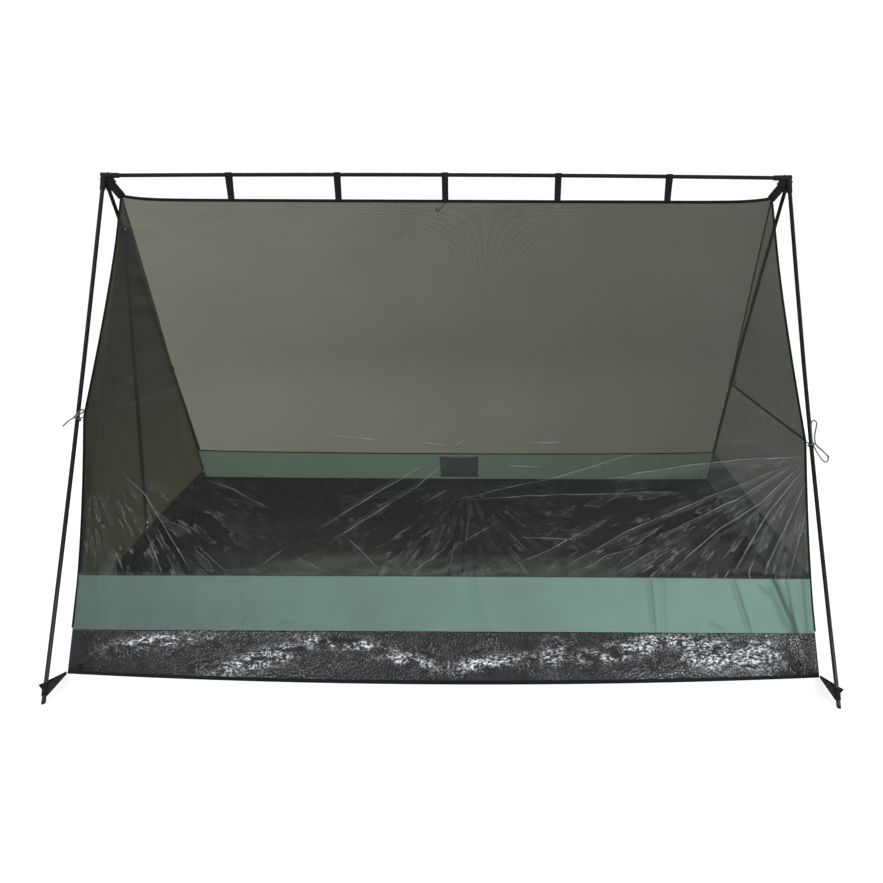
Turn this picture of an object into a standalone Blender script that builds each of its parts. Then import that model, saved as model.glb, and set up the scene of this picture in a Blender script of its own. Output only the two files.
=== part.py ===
# Free-standing mesh ridge tent: an insect-net inner tent hung inside an outer
# pole frame. X runs along the ridge, -Y is the long front side, +Z is up.
# The ground is z = 0 and all values are metres unless a name says otherwise.
import math

import bmesh
import bpy
import numpy as np
from mathutils import Matrix, Vector

# Floor of the inner tent, which the legs stand round
FLOOR_HALF_LENGTH = 1.136
FLOOR_HALF_DEPTH = 0.606
REAR_CORNER_INSET = 0.029

# Pole frame
RIDGE_LENGTH = 2.100
APEX_HEIGHT = 1.3935
FOOT_PAST_FLOOR_END = 0.004
FOOT_PAST_FLOOR_SIDE = {"front": 0.127, "rear": 0.094}
POLE_RADIUS = 0.0060
POLE_WALL = 0.0012
RIDGE_BOW = 0.0055
LEG_BOW = {"left": 0.0045, "right": 0.0085}
RIDGE_SECTIONS = 4
LEG_JOINT_SHARE = 0.5325
SPIGOT_LENGTH = 0.055
SPIGOT_WALL = 0.0011
POLE_SIDES = 12
SEAM = 0.0004
CLEARANCE = 0.0003

# Moulded apex connectors
SLEEVE_LENGTH = 0.046
SLEEVE_WALL = 0.0013
HUB_RADIUS = 0.0092
RIDGE_SOCKET_START = 0.013
LEG_SOCKET_START = 0.021
GUSSET_THICKNESS = 0.0060
GUSSET_REACH = 0.0345
GUSSET_BAR = 0.0050

# Leg end plugs and shock cords
PLUG_FOOT = 0.0046
PLUG_STEM = 0.018
SHOCK_CORD_RADIUS = 0.0015
KNOT_POCKET = 0.008

# Inner tent, which hangs under the ridge pole
RIDGE_STRAP_DROP = 0.0670
APEX_STRAP_SPAN = 0.043
RIDGE_CORNER_X = RIDGE_LENGTH / 2 - APEX_STRAP_SPAN
RIDGE_TAPE_TOP = APEX_HEIGHT - RIDGE_STRAP_DROP
RIDGE_TAPE_RISE = 0.0127
RIDGE_TAPE_RISE_POWER = 18
RIDGE_TAPE_HEIGHT = 0.009
RIDGE_TAPE_WIDTH = 0.0056
PANEL_TOP_HALF_GAP = 0.0016
FLOOR_FRONT_BULGE = 0.040
FLOOR_REAR_BULGE = -0.080
BAND_TOP = 0.2755
WALL_TOP = 0.1207
SILL_TOP = 0.165
SILL_INSET = 0.0050
MESH_THICKNESS = 0.0012
BAND_THICKNESS = 0.0014
TUB_THICKNESS = 0.0018
PANEL_SAG = 0.014
BINDING_RADIUS = 0.0034

# Ties between the hips and the legs: height of each, how far it pulls the hip,
# how far along the hip the pull reaches (as a share of its length) and how it fades
TIE_HEIGHT = {
    "front_left": 0.726,
    "front_right": 0.667,
    "rear_left": 0.667,
    "rear_right": 0.616,
}
TIE_PULL = {"front": 0.052, "rear": 0.042}
TIE_REACH = 0.37
TIE_FALL = 1.5
TIE_SPREAD = 0.26
TIE_CORD_RADIUS = 0.0021

# Webbing
WEBBING_WIDTH = 0.020
WEBBING_THICKNESS = 0.0013
RIDGE_STRAP_SHARES = (0.1825, 0.341, 0.4985, 0.664, 0.826)
CORNER_WEBBING_WIDTH = 0.025
TAB_HEIGHT_AT_POLE = 0.036
TAB_HEIGHT_AT_CORNER = 0.009
TAB_CENTRE = 0.034
WRAP_HEIGHT = 0.052
WRAP_ABOVE_TIE = 0.008
WRAP_FLAP = 0.019

# Door in the left end
DOOR_TOP_SHARE = 0.075
JAMB_WIDTH = 0.010
HINGE_GAP = 0.0010
ZIP_GAP = 0.0016
COIL_WIDTH = 0.0024
COIL_THICKNESS = 0.0024
ZIP_TAPE_WIDTH = 0.010
ZIP_TAPE_THICKNESS = 0.0010
SLIDER_LENGTH = 0.013
SLIDER_WIDTH = 0.0095
SLIDER_PLATE = 0.0012
SLIDER_REST = 0.016
PULL_LENGTH = 0.030
PULL_WIDTH = 0.0064
PULL_THICKNESS = 0.0012
PIN_RADIUS = 0.0006
PIN_LIFT = 0.0023
EYE_WALL = 0.0010

# Small pieces
HOOK_LENGTH = 0.040
HOOK_WIRE = 0.0014
HOOK_TILT_DEG = 38
HOOK_PEG_RADIUS = 0.0012
HOOK_PEG_REACH = 0.0042
HOOK_X = -0.001
GUY_TAPE_WIDTH = 0.009
GUY_TAPE_THICKNESS = 0.0010
POCKET_WIDTH = 0.162
POCKET_CENTRE_X = 0.014
POCKET_TOP = 0.262
POCKET_FOOT = 0.136
POCKET_THICKNESS = 0.0012

# Worked out from the sizes above
APEX_X = RIDGE_LENGTH / 2
FOOT_X = FLOOR_HALF_LENGTH + FOOT_PAST_FLOOR_END
BORE_RADIUS = POLE_RADIUS - POLE_WALL
SPIGOT_RADIUS = BORE_RADIUS - CLEARANCE
SLEEVE_BORE = POLE_RADIUS + CLEARANCE + 0.00005
STRAIGHT_END = SLEEVE_LENGTH + 0.004
TAPE_FOOT_DROP = RIDGE_TAPE_HEIGHT + CLEARANCE
HIP_TOP = RIDGE_TAPE_TOP + RIDGE_TAPE_RISE - TAPE_FOOT_DROP
SIDES = {"front": -1, "rear": 1}
ENDS = {"left": -1, "right": 1}
CORNERS = [(face, end) for face in SIDES for end in ENDS]

# Materials: colour, roughness and metallic value of each finish
FINISHES = {
    "black_pole": ((0.020, 0.021, 0.022), 0.32, 0.25),
    "black_moulding": ((0.030, 0.030, 0.031), 0.55, 0.0),
    "black_webbing": ((0.018, 0.018, 0.019), 0.80, 0.0),
    "shock_cord": ((0.055, 0.055, 0.060), 0.75, 0.0),
    "net": ((0.105, 0.115, 0.090), 0.70, 0.0),
    "green_fabric": ((0.155, 0.265, 0.215), 0.62, 0.0),
    "black_sheeting": ((0.022, 0.023, 0.025), 0.24, 0.0),
    "pocket_fabric": ((0.050, 0.060, 0.062), 0.60, 0.0),
    "zip_tape": ((0.030, 0.033, 0.030), 0.75, 0.0),
    "zip_metal": ((0.55, 0.55, 0.53), 0.35, 0.9),
    "tie_cord": ((0.15, 0.18, 0.16), 0.70, 0.0),
}


def clear_scene():
    for existing in list(bpy.data.objects):
        bpy.data.objects.remove(existing, do_unlink=True)


def finish_of(name):
    material = bpy.data.materials.get(name)
    if material:
        return material
    colour, roughness, metallic = FINISHES[name]
    material = bpy.data.materials.new(name)
    material.use_nodes = True
    shader = material.node_tree.nodes["Principled BSDF"]
    shader.inputs["Base Color"].default_value = (*colour, 1.0)
    shader.inputs["Roughness"].default_value = roughness
    shader.inputs["Metallic"].default_value = metallic
    material.diffuse_color = (*colour, 1.0)
    return material


def piece_from(name, points, faces, finish, origin=(0, 0, 0), smooth=False):
    """One object from world points, with its own origin and faces turned outwards."""
    origin = Vector(origin)
    mesh = bpy.data.meshes.new(name)
    mesh.from_pydata([Vector(p) - origin for p in points], [], faces)
    shape = bmesh.new()
    shape.from_mesh(mesh)
    bmesh.ops.recalc_face_normals(shape, faces=shape.faces)
    shape.to_mesh(mesh)
    shape.free()
    mesh.materials.append(finish_of(finish))
    piece = bpy.data.objects.new(name, mesh)
    piece.location = origin
    bpy.context.scene.collection.objects.link(piece)
    if smooth:
        mesh.shade_smooth()
        mesh.set_sharp_from_angle(angle=math.radians(40))
    return piece


def thicken(piece, thickness, offset=0.0):
    shell = piece.modifiers.new("Solidify", "SOLIDIFY")
    shell.thickness = thickness
    shell.offset = offset
    shell.use_even_offset = True


def unit(vector):
    vector = np.asarray(vector, float)
    return vector / np.linalg.norm(vector)


def lerp(a, b, share):
    return np.asarray(a, float) * (1 - share) + np.asarray(b, float) * share


def square_to(direction):
    """Two unit vectors square to a direction and to each other."""
    spare = np.array([0.0, 0.0, 1.0]) if abs(direction[2]) < 0.9 else np.array([0.0, 1.0, 0.0])
    first = unit(np.cross(spare, direction))
    return first, np.cross(direction, first)


# Poles
def ridge_point(x):
    """Centre line of the ridge pole, which bows up a little between the apexes."""
    return np.array([x, 0.0, APEX_HEIGHT + RIDGE_BOW * (1 - (x / APEX_X) ** 2)])


def apex_of(end):
    return np.array([ENDS[end] * APEX_X, 0.0, APEX_HEIGHT])


def foot_of(face, end):
    past = FLOOR_HALF_DEPTH + FOOT_PAST_FLOOR_SIDE[face]
    return np.array([ENDS[end] * FOOT_X, SIDES[face] * past, 0.0])


LEG_LENGTH = {
    face: float(np.linalg.norm(foot_of(face, "left") - apex_of("left"))) for face in SIDES
}


def leg_direction(face, end):
    return unit(foot_of(face, end) - apex_of(end))


def leg_point(face, end, along):
    """Centre line of a leg; the ties bow it towards the tent."""
    share = along / LEG_LENGTH[face]
    inward = np.array([-ENDS[end], 0.0, 0.0])
    bow = LEG_BOW[end] * math.sin(math.pi * min(max(share, 0.0), 1.0))
    return apex_of(end) + leg_direction(face, end) * along + inward * bow


def turned_tube(name, profile, centre, across, finish, sides=POLE_SIDES):
    """Turns a closed profile of (distance, radius) pairs about a bowed centre line."""
    first, second = across
    points = []
    for along, radius in profile:
        for k in range(sides):
            turn = 2 * math.pi * k / sides
            rim = first * math.cos(turn) + second * math.sin(turn)
            points.append(centre(along) + rim * radius)
    faces = []
    rings = len(profile)
    for i in range(rings):
        for k in range(sides):
            a = i * sides + k
            b = i * sides + (k + 1) % sides
            c = ((i + 1) % rings) * sides + (k + 1) % sides
            d = ((i + 1) % rings) * sides + k
            faces.append((a, b, c, d))
    return piece_from(name, points, faces, finish, origin=centre(profile[0][0]), smooth=True)


def section_profile(start, end, spigot, head, tail):
    """A hollow pole section; with a spigot, its end is drawn down to plug into the next.

    It is straight for the lengths head and tail at its ends, and follows the bow between them.
    """
    stations = [start, start + head]
    stations += [start + head + (end - start - head - tail) * share for share in (1 / 3, 2 / 3)]
    stations += [end - tail] if tail else []
    outer = [(along, POLE_RADIUS) for along in stations + [end]]
    inner_end = end
    tip = []
    if spigot:
        tip = [
            (end, SPIGOT_RADIUS),
            (end + SPIGOT_LENGTH, SPIGOT_RADIUS),
            (end + SPIGOT_LENGTH, SPIGOT_RADIUS - SPIGOT_WALL),
            (end - POLE_WALL, SPIGOT_RADIUS - SPIGOT_WALL),
        ]
        inner_end = end - POLE_WALL
    inner = [(along, BORE_RADIUS) for along in [inner_end] + stations[::-1]]
    return outer + tip + inner


def make_ridge_pole():
    across = (np.array([0.0, 1.0, 0.0]), np.array([0.0, 0.0, 1.0]))
    first = -APEX_X + RIDGE_SOCKET_START + 2 * CLEARANCE
    last = APEX_X - RIDGE_SOCKET_START - 2 * CLEARANCE
    joints = [RIDGE_LENGTH * (i / RIDGE_SECTIONS - 0.5) for i in range(RIDGE_SECTIONS + 1)]
    joints[0], joints[-1] = first, last
    socket = STRAIGHT_END - RIDGE_SOCKET_START - 2 * CLEARANCE
    for i in range(RIDGE_SECTIONS):
        start = joints[i] + (SEAM if i else 0.0)
        has_spigot = i < RIDGE_SECTIONS - 1
        head = SPIGOT_LENGTH if i else socket
        tail = 0.0 if has_spigot else socket
        profile = section_profile(start, joints[i + 1], has_spigot, head, tail)
        turned_tube(f"ridge_pole_{i + 1}", profile, ridge_point, across, "black_pole")


def leg_tube_end(face):
    return LEG_LENGTH[face] - PLUG_FOOT - 2 * CLEARANCE


def make_legs():
    top = LEG_SOCKET_START + 2 * CLEARANCE
    for face, end in CORNERS:
        joint = LEG_LENGTH[face] * LEG_JOINT_SHARE
        across = square_to(leg_direction(face, end))

        def centre(along, face=face, end=end):
            return leg_point(face, end, along)

        upper = section_profile(top, joint, True, STRAIGHT_END - top, 0.0)
        lower = section_profile(joint + SEAM, leg_tube_end(face), False, SPIGOT_LENGTH, PLUG_STEM)
        turned_tube(f"leg_{face}_{end}_upper", upper, centre, across, "black_pole")
        turned_tube(f"leg_{face}_{end}_lower", lower, centre, across, "black_pole")


def cut_flat(piece, height):
    """Cuts a piece off level with the ground, for a foot that stands flat."""
    shape = bmesh.new()
    shape.from_mesh(piece.data)
    bmesh.ops.bisect_plane(
        shape,
        geom=shape.verts[:] + shape.edges[:] + shape.faces[:],
        plane_co=(0, 0, height - piece.location.z),
        plane_no=(0, 0, -1),
        clear_outer=True,
    )
    rim = [edge for edge in shape.edges if edge.is_boundary]
    bmesh.ops.contextual_create(shape, geom=rim)
    bmesh.ops.recalc_face_normals(shape, faces=shape.faces)
    shape.to_mesh(piece.data)
    shape.free()


def make_leg_plugs():
    """Rubber end plugs: a foot under the tube, a stem in its bore and a pocket for the cord's knot."""
    body = BORE_RADIUS - 1.5 * CLEARANCE
    pocket = SHOCK_CORD_RADIUS + CLEARANCE
    for face, end in CORNERS:
        foot_top = LEG_LENGTH[face] - PLUG_FOOT
        stem_top = foot_top - PLUG_STEM
        rings = [
            (stem_top + KNOT_POCKET, pocket),
            (stem_top, pocket),
            (stem_top, body),
            (foot_top, body),
            (foot_top, POLE_RADIUS),
            (LEG_LENGTH[face] + POLE_RADIUS, POLE_RADIUS),
        ]
        start = leg_point(face, end, stem_top)
        axis = unit(leg_point(face, end, leg_tube_end(face)) - start)
        first, second = square_to(axis)
        points = []
        for along, radius in rings:
            for k in range(POLE_SIDES):
                turn = 2 * math.pi * k / POLE_SIDES
                rim = first * math.cos(turn) + second * math.sin(turn)
                points.append(start + axis * (along - stem_top) + rim * radius)
        last = (len(rings) - 1) * POLE_SIDES
        faces = [tuple(range(POLE_SIDES)), tuple(last + k for k in range(POLE_SIDES))]
        for i in range(len(rings) - 1):
            for k in range(POLE_SIDES):
                a = i * POLE_SIDES + k
                b = i * POLE_SIDES + (k + 1) % POLE_SIDES
                faces.append((a, b, b + POLE_SIDES, a + POLE_SIDES))
        plug = piece_from(
            f"leg_plug_{face}_{end}", points, faces, "black_moulding", origin=start, smooth=True
        )
        cut_flat(plug, 0.0)


def round_bar(name, points, radius, finish, sides=6, origin=None):
    """A solid bar of round section along a path, with flat ends."""
    path = [np.asarray(p, float) for p in points]
    verts = []
    first = None
    for i, here in enumerate(path):
        ahead = path[min(i + 1, len(path) - 1)] - path[max(i - 1, 0)]
        ahead = unit(ahead)
        if first is None:
            first, _ = square_to(ahead)
        first = unit(first - ahead * np.dot(first, ahead))
        second = np.cross(ahead, first)
        for k in range(sides):
            turn = 2 * math.pi * k / sides
            verts.append(here + (first * math.cos(turn) + second * math.sin(turn)) * radius)
    faces = [tuple(range(sides)), tuple((len(path) - 1) * sides + k for k in range(sides))]
    for i in range(len(path) - 1):
        for k in range(sides):
            a = i * sides + k
            b = i * sides + (k + 1) % sides
            faces.append((a, b, b + sides, a + sides))
    place = path[0] if origin is None else origin
    return piece_from(name, verts, faces, finish, origin=place, smooth=True)


def make_shock_cords():
    """Elastic cords that keep the sections of each pole together."""
    ends = APEX_X - RIDGE_SOCKET_START - 2 * CLEARANCE
    straight = APEX_X - STRAIGHT_END
    xs = [-ends, *np.linspace(-straight, straight, 9), ends]
    round_bar("ridge_shock_cord", [ridge_point(x) for x in xs], SHOCK_CORD_RADIUS, "shock_cord")
    top = LEG_SOCKET_START + 2 * CLEARANCE
    for face, end in CORNERS:
        stem_top = LEG_LENGTH[face] - PLUG_FOOT - PLUG_STEM
        low = stem_top + KNOT_POCKET - 2 * CLEARANCE
        stations = [top, *np.linspace(STRAIGHT_END, stem_top, 7)]
        path = [leg_point(face, end, along) for along in stations]
        path.append(path[-1] + unit(path[-1] - leg_point(face, end, leg_tube_end(face))) * (stem_top - low))
        round_bar(f"leg_shock_cord_{face}_{end}", path, SHOCK_CORD_RADIUS, "shock_cord")


# Apex connectors
def cone_between(name, start, finish_point, start_radius, end_radius, sides=20, turn=0.07):
    """A cone or cylinder between two points; its small turn keeps facets off the symmetry plane."""
    start = Vector(start)
    finish_point = Vector(finish_point)
    mesh = bpy.data.meshes.new(name)
    shape = bmesh.new()
    bmesh.ops.create_cone(
        shape,
        cap_ends=True,
        segments=sides,
        radius1=start_radius,
        radius2=end_radius,
        depth=(finish_point - start).length,
    )
    bmesh.ops.rotate(shape, verts=shape.verts, matrix=Matrix.Rotation(turn, 3, "Z"))
    shape.to_mesh(mesh)
    shape.free()
    cone = bpy.data.objects.new(name, mesh)
    cone.rotation_mode = "QUATERNION"
    cone.rotation_quaternion = (finish_point - start).to_track_quat("Z", "Y")
    cone.location = (start + finish_point) / 2
    bpy.context.scene.collection.objects.link(cone)
    return cone


def helper(piece):
    piece.hide_render = True
    piece.display_type = "WIRE"
    return piece


def boolean(target, other, operation):
    step = target.modifiers.new(operation.title(), "BOOLEAN")
    step.operation = operation
    step.object = helper(other)
    step.solver = "EXACT"


def mesh_ridge_corner(end):
    """The inner tent's ridge corner, at the middle of the ridge tape's end."""
    height = RIDGE_TAPE_TOP + RIDGE_TAPE_RISE - RIDGE_TAPE_HEIGHT / 2
    return np.array([ENDS[end] * RIDGE_CORNER_X, 0.0, height])


def strap_direction(end):
    return unit(mesh_ridge_corner(end) - apex_of(end))


def box_along(name, centre, along, across, size, finish):
    """A block: its size is given along it, across it and through it."""
    normal = np.cross(along, across)
    verts = []
    for a in (-0.5, 0.5):
        for b in (-0.5, 0.5):
            for c in (-0.5, 0.5):
                offset = along * a * size[0] + across * b * size[1] + normal * c * size[2]
                verts.append(np.asarray(centre) + offset)
    faces = [(0, 1, 3, 2), (4, 6, 7, 5), (0, 4, 5, 1), (2, 3, 7, 6), (0, 2, 6, 4), (1, 5, 7, 3)]
    return piece_from(name, verts, faces, finish, origin=centre)


def sleeve_lines(end):
    """Start and direction of each sleeve: the straight ends of the ridge pole and both legs."""
    sign = ENDS[end]
    lines = []
    start = ridge_point(sign * (APEX_X - RIDGE_SOCKET_START))
    beyond = ridge_point(sign * (APEX_X - STRAIGHT_END))
    lines.append((start, unit(beyond - start), RIDGE_SOCKET_START))
    for face in SIDES:
        start = leg_point(face, end, LEG_SOCKET_START)
        beyond = leg_point(face, end, STRAIGHT_END)
        lines.append((start, unit(beyond - start), LEG_SOCKET_START))
    return lines


def make_apex_connector(end):
    """Three tapered sleeves and a webbing eye, moulded in one."""
    apex = apex_of(end)
    mouth = SLEEVE_BORE + SLEEVE_WALL
    name = f"apex_connector_{end}"
    lines = sleeve_lines(end)
    body = None
    for number, (start, direction, inset) in enumerate(lines):
        back = HUB_RADIUS * (0.35 if number else 0.8)
        sleeve = cone_between(
            name if body is None else f"{name}_sleeve_{number}",
            start - direction * (inset + back),
            start + direction * (SLEEVE_LENGTH - inset),
            HUB_RADIUS,
            mouth,
        )
        if body is None:
            body = sleeve
            body.data.materials.append(finish_of("black_moulding"))
        else:
            boolean(body, sleeve, "UNION")
    strap = strap_direction(end)
    wide = np.cross(strap, np.array([0.0, 1.0, 0.0]))
    eye_width = CORNER_WEBBING_WIDTH + 2 * (CLEARANCE + GUSSET_BAR)
    gusset = box_along(
        f"{name}_eye", apex + strap * GUSSET_REACH / 2, strap, wide,
        (GUSSET_REACH, eye_width, GUSSET_THICKNESS), "black_moulding",
    )
    boolean(body, gusset, "UNION")
    slot_length = 2 * WEBBING_THICKNESS + 2 * CLEARANCE
    slot_centre = apex + strap * (GUSSET_REACH - GUSSET_BAR - slot_length / 2)
    slot = box_along(
        f"{name}_slot", slot_centre, strap, wide,
        (slot_length, CORNER_WEBBING_WIDTH + 2 * CLEARANCE, GUSSET_THICKNESS * 4),
        "black_moulding",
    )
    boolean(body, slot, "DIFFERENCE")
    for number, (start, direction, _) in enumerate(lines):
        bore = cone_between(
            f"{name}_bore_{number}", start, start + direction * SLEEVE_LENGTH,
            SLEEVE_BORE, SLEEVE_BORE, sides=24,
        )
        boolean(body, bore, "DIFFERENCE")
    body.data.shade_smooth()
    body.data.set_sharp_from_angle(angle=math.radians(35))


# Shape of the inner tent
SIDE_ACROSS = (0.0, 0.015, 0.045, 0.10, 0.18, 0.27, 0.38, 0.5, 0.62, 0.73, 0.82, 0.90, 0.955, 0.985, 1.0)
TAPE_KNOTS = [RIDGE_CORNER_X * (2 * across - 1) for across in SIDE_ACROSS]
TAPE_LIFTS = [
    RIDGE_TAPE_RISE * (abs(x) / RIDGE_CORNER_X) ** RIDGE_TAPE_RISE_POWER for x in TAPE_KNOTS
]


def tape_top(x):
    """Upper edge of the ridge tape, which lifts at the corner straps."""
    return RIDGE_TAPE_TOP + float(np.interp(x, TAPE_KNOTS, TAPE_LIFTS))


def corner_x(face):
    """Half the length between the two floor corners of a side; the rear ones are drawn in."""
    return FLOOR_HALF_LENGTH - (REAR_CORNER_INSET if face == "rear" else 0.0)


def straight_hip(face, end, share):
    """A point on the straight line from a ridge corner to a floor corner."""
    top = (ENDS[end] * RIDGE_CORNER_X, SIDES[face] * PANEL_TOP_HALF_GAP, HIP_TOP)
    low = (ENDS[end] * corner_x(face), SIDES[face] * FLOOR_HALF_DEPTH, 0.0)
    return lerp(top, low, share)


def share_at(height):
    return 1.0 - height / HIP_TOP


def tie_share(face, end):
    return share_at(TIE_HEIGHT[f"{face}_{end}"])


def tie_leg_point(face, end, lift=0.0):
    """The leg's centre at a tie's height."""
    height = TIE_HEIGHT[f"{face}_{end}"] + lift
    along = LEG_LENGTH[face] * (1 - height / APEX_HEIGHT)
    return leg_point(face, end, along)


def tie_pull_direction(face, end):
    start = straight_hip(face, end, tie_share(face, end))
    return unit(tie_leg_point(face, end) - start)


def tie_weight(face, end, share):
    away = abs(share - tie_share(face, end)) / TIE_REACH
    return max(0.0, 1.0 - away) ** TIE_FALL


def hip_point(face, end, share):
    """A hip seam, drawn out towards the leg where its tie pulls it."""
    pull = TIE_PULL[face] * tie_weight(face, end, share)
    return straight_hip(face, end, share) + tie_pull_direction(face, end) * pull


def edge_fade(distance):
    """How much of a tie's pull is left at a distance into a panel, as a share of its width."""
    return max(0.0, 1.0 - distance / TIE_SPREAD) ** 2


def side_point(face, share, across):
    """A point of the long front or rear panel; across runs 0 to 1 from left to right."""
    left = straight_hip(face, "left", share)
    right = straight_hip(face, "right", share)
    point = lerp(left, right, across)
    top_x = RIDGE_CORNER_X * (2 * across - 1)
    point[2] = (tape_top(top_x) - TAPE_FOOT_DROP) * (1 - share)
    for end, distance in (("left", across), ("right", 1 - across)):
        pull = TIE_PULL[face] * tie_weight(face, end, share) * edge_fade(distance)
        point = point + tie_pull_direction(face, end) * pull
    sag = PANEL_SAG * math.sin(math.pi * share) * math.sin(math.pi * across)
    inward = unit((0.0, -SIDES[face] * HIP_TOP, -FLOOR_HALF_DEPTH))
    return point + inward * sag


def rear_part(end, across):
    """How far an end panel has gone over from its front line to its rear line.

    The front half of the left end is flat as far as the zip.
    """
    return max(0.0, 2 * across - 1) if end == "left" else across


def end_point(end, share, across):
    """A point of an end panel; across runs 0 to 1 from the front hip to the rear hip."""
    front, rear = straight_hip("front", end, share), straight_hip("rear", end, share)
    point = lerp(front, rear, across)
    point[0] = front[0] + (rear[0] - front[0]) * rear_part(end, across)
    for face, distance in (("front", across), ("rear", 1 - across)):
        pull = TIE_PULL[face] * tie_weight(face, end, share) * max(0.0, 1.0 - distance)
        point = point + tie_pull_direction(face, end) * pull
    return point


def grid_faces(rows, columns):
    faces = []
    for i in range(rows - 1):
        for j in range(columns - 1):
            a = i * columns + j
            faces.append((a, a + 1, a + columns + 1, a + columns))
    return faces


def cloth_piece(name, rows, thickness, finish):
    """A sheet from rows of points, thickened evenly to both sides."""
    points = [point for row in rows for point in row]
    columns = len(rows[0])
    piece = piece_from(name, points, grid_faces(len(rows), columns), finish, origin=points[0])
    piece.data.shade_smooth()
    thicken(piece, thickness)
    return piece


def trim_ends(row, gap):
    """Shortens a row of points by a gap at each end, along its own end segments."""
    row = [np.asarray(p, float) for p in row]
    row[0] = row[0] + unit(row[1] - row[0]) * gap
    row[-1] = row[-1] + unit(row[-2] - row[-1]) * gap
    return row


HIP_GAP = BINDING_RADIUS + CLEARANCE


def side_rows(face, shares):
    return [trim_ends([side_point(face, s, u) for u in SIDE_ACROSS], HIP_GAP) for s in shares]


# Heights, as shares of the way down, where the hip seams and every panel beside them bend
EVEN_SHARES = (0.08, 0.17, 0.25, 0.32, 0.38, 0.42, 0.476, 0.518, 0.57, 0.62, 0.68, 0.74)
BEND_SHARES = sorted({*EVEN_SHARES, *(share_at(height) for height in TIE_HEIGHT.values())})
BAND_SHARE = share_at(BAND_TOP)
WALL_SHARE = share_at(WALL_TOP)
SEAM_SHARE = CLEARANCE / HIP_TOP


def make_side_panels():
    mesh_shares = [0.0004, *BEND_SHARES, BAND_SHARE - SEAM_SHARE]
    band_shares = [BAND_SHARE + SEAM_SHARE, 0.86, WALL_SHARE - 3 * SEAM_SHARE]
    for face in SIDES:
        cloth_piece(f"mesh_{face}", side_rows(face, mesh_shares), MESH_THICKNESS, "net")
        cloth_piece(f"band_{face}", side_rows(face, band_shares), BAND_THICKNESS, "green_fabric")


END_ACROSS = (0.0, 0.15, 0.32, 0.5, 0.68, 0.85, 1.0)


def end_gap():
    """Gap along a row of an end panel that leaves the hip binding clear."""
    slope = math.atan2(HIP_TOP, FLOOR_HALF_DEPTH)
    return HIP_GAP / math.sin(slope)


def end_rows(end, shares):
    return [trim_ends([end_point(end, s, v) for v in END_ACROSS], end_gap()) for s in shares]


def make_right_end_panels():
    mesh_shares = [0.022, *BEND_SHARES, BAND_SHARE - SEAM_SHARE]
    band_shares = [BAND_SHARE + SEAM_SHARE, 0.86, WALL_SHARE - 3 * SEAM_SHARE]
    cloth_piece("mesh_right_end", end_rows("right", mesh_shares), MESH_THICKNESS, "net")
    cloth_piece("band_right_end", end_rows("right", band_shares), BAND_THICKNESS, "green_fabric")


def make_hip_bindings():
    """One tape binds both sloping edges of each end, over the ridge corner."""
    slant = BINDING_RADIUS * FLOOR_HALF_DEPTH / HIP_TOP
    low = share_at(WALL_TOP + slant + 2 * CLEARANCE)
    steps = (0.03, *BEND_SHARES, BAND_SHARE, 0.86, low)
    for end in ENDS:
        front = [hip_point("front", end, s) for s in steps]
        rear = [hip_point("rear", end, s) for s in steps]
        crown = np.array([ENDS[end] * RIDGE_CORNER_X, 0.0, HIP_TOP])
        path = front[::-1] + [crown] + rear
        round_bar(f"hip_binding_{end}", path, BINDING_RADIUS, "black_webbing")


def make_ridge_tape():
    """Folded tape over the ridge seam, with the peg that the small hook hangs on."""
    reach = RIDGE_CORNER_X - BINDING_RADIUS - CLEARANCE
    xs = [-reach, *TAPE_KNOTS[1:-1], reach]
    half = RIDGE_TAPE_WIDTH / 2
    rim = ((-half, -RIDGE_TAPE_HEIGHT), (-half, 0), (half, 0), (half, -RIDGE_TAPE_HEIGHT))
    points = [(x, y, tape_top(x) + z) for x in xs for y, z in rim]
    faces = [(0, 1, 2, 3), tuple(len(points) - 4 + k for k in range(4))]
    for i in range(len(xs) - 1):
        for k in range(4):
            a = i * 4 + k
            b = i * 4 + (k + 1) % 4
            faces.append((a, b, b + 4, a + 4))
    tape = piece_from("ridge_tape", points, faces, "black_webbing")
    peg_start = hook_pivot() + hook_normal() * (HOOK_PEG_REACH + 0.0015)
    peg = cone_between(
        "ridge_tape_peg", peg_start, hook_pivot() - hook_normal() * 0.0020,
        HOOK_PEG_RADIUS, HOOK_PEG_RADIUS, sides=10,
    )
    boolean(tape, peg, "UNION")


# Floor tub
def tub_outline():
    """Outline of the tub, anticlockwise: pairs of a floor point and the wall top above it."""
    pairs = []
    for face, bulge in (("front", FLOOR_FRONT_BULGE), ("rear", FLOOR_REAR_BULGE)):
        side = []
        for across in SIDE_ACROSS:
            x = corner_x(face) * (2 * across - 1)
            swell = bulge * (1 - (2 * across - 1) ** 2)
            floor = np.array([x, SIDES[face] * (FLOOR_HALF_DEPTH + swell), 0.0])
            side.append((floor, side_point(face, WALL_SHARE, across)))
        if face == "front":
            pairs += side + [end_wall_pair("right", WALL_TOP, across) for across in (0.25, 0.5, 0.75)]
        else:
            pairs += side[::-1]
    inset = SILL_INSET / (2 * FLOOR_HALF_DEPTH)
    for across, height in (
        (1 - inset, WALL_TOP), (1 - inset * 1.2, SILL_TOP), (0.75, SILL_TOP), (0.5, SILL_TOP),
        (0.25, SILL_TOP), (inset * 1.2, SILL_TOP), (inset, WALL_TOP),
    ):
        pairs.append(end_wall_pair("left", height, across))
    return pairs


def end_wall_pair(end, height, across):
    """A floor point at an end of the tub and the wall top above it."""
    half = FLOOR_HALF_LENGTH - REAR_CORNER_INSET * rear_part(end, across)
    floor = np.array([ENDS[end] * half, FLOOR_HALF_DEPTH * (2 * across - 1), 0.0])
    return floor, end_point(end, share_at(height), across)


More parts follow.
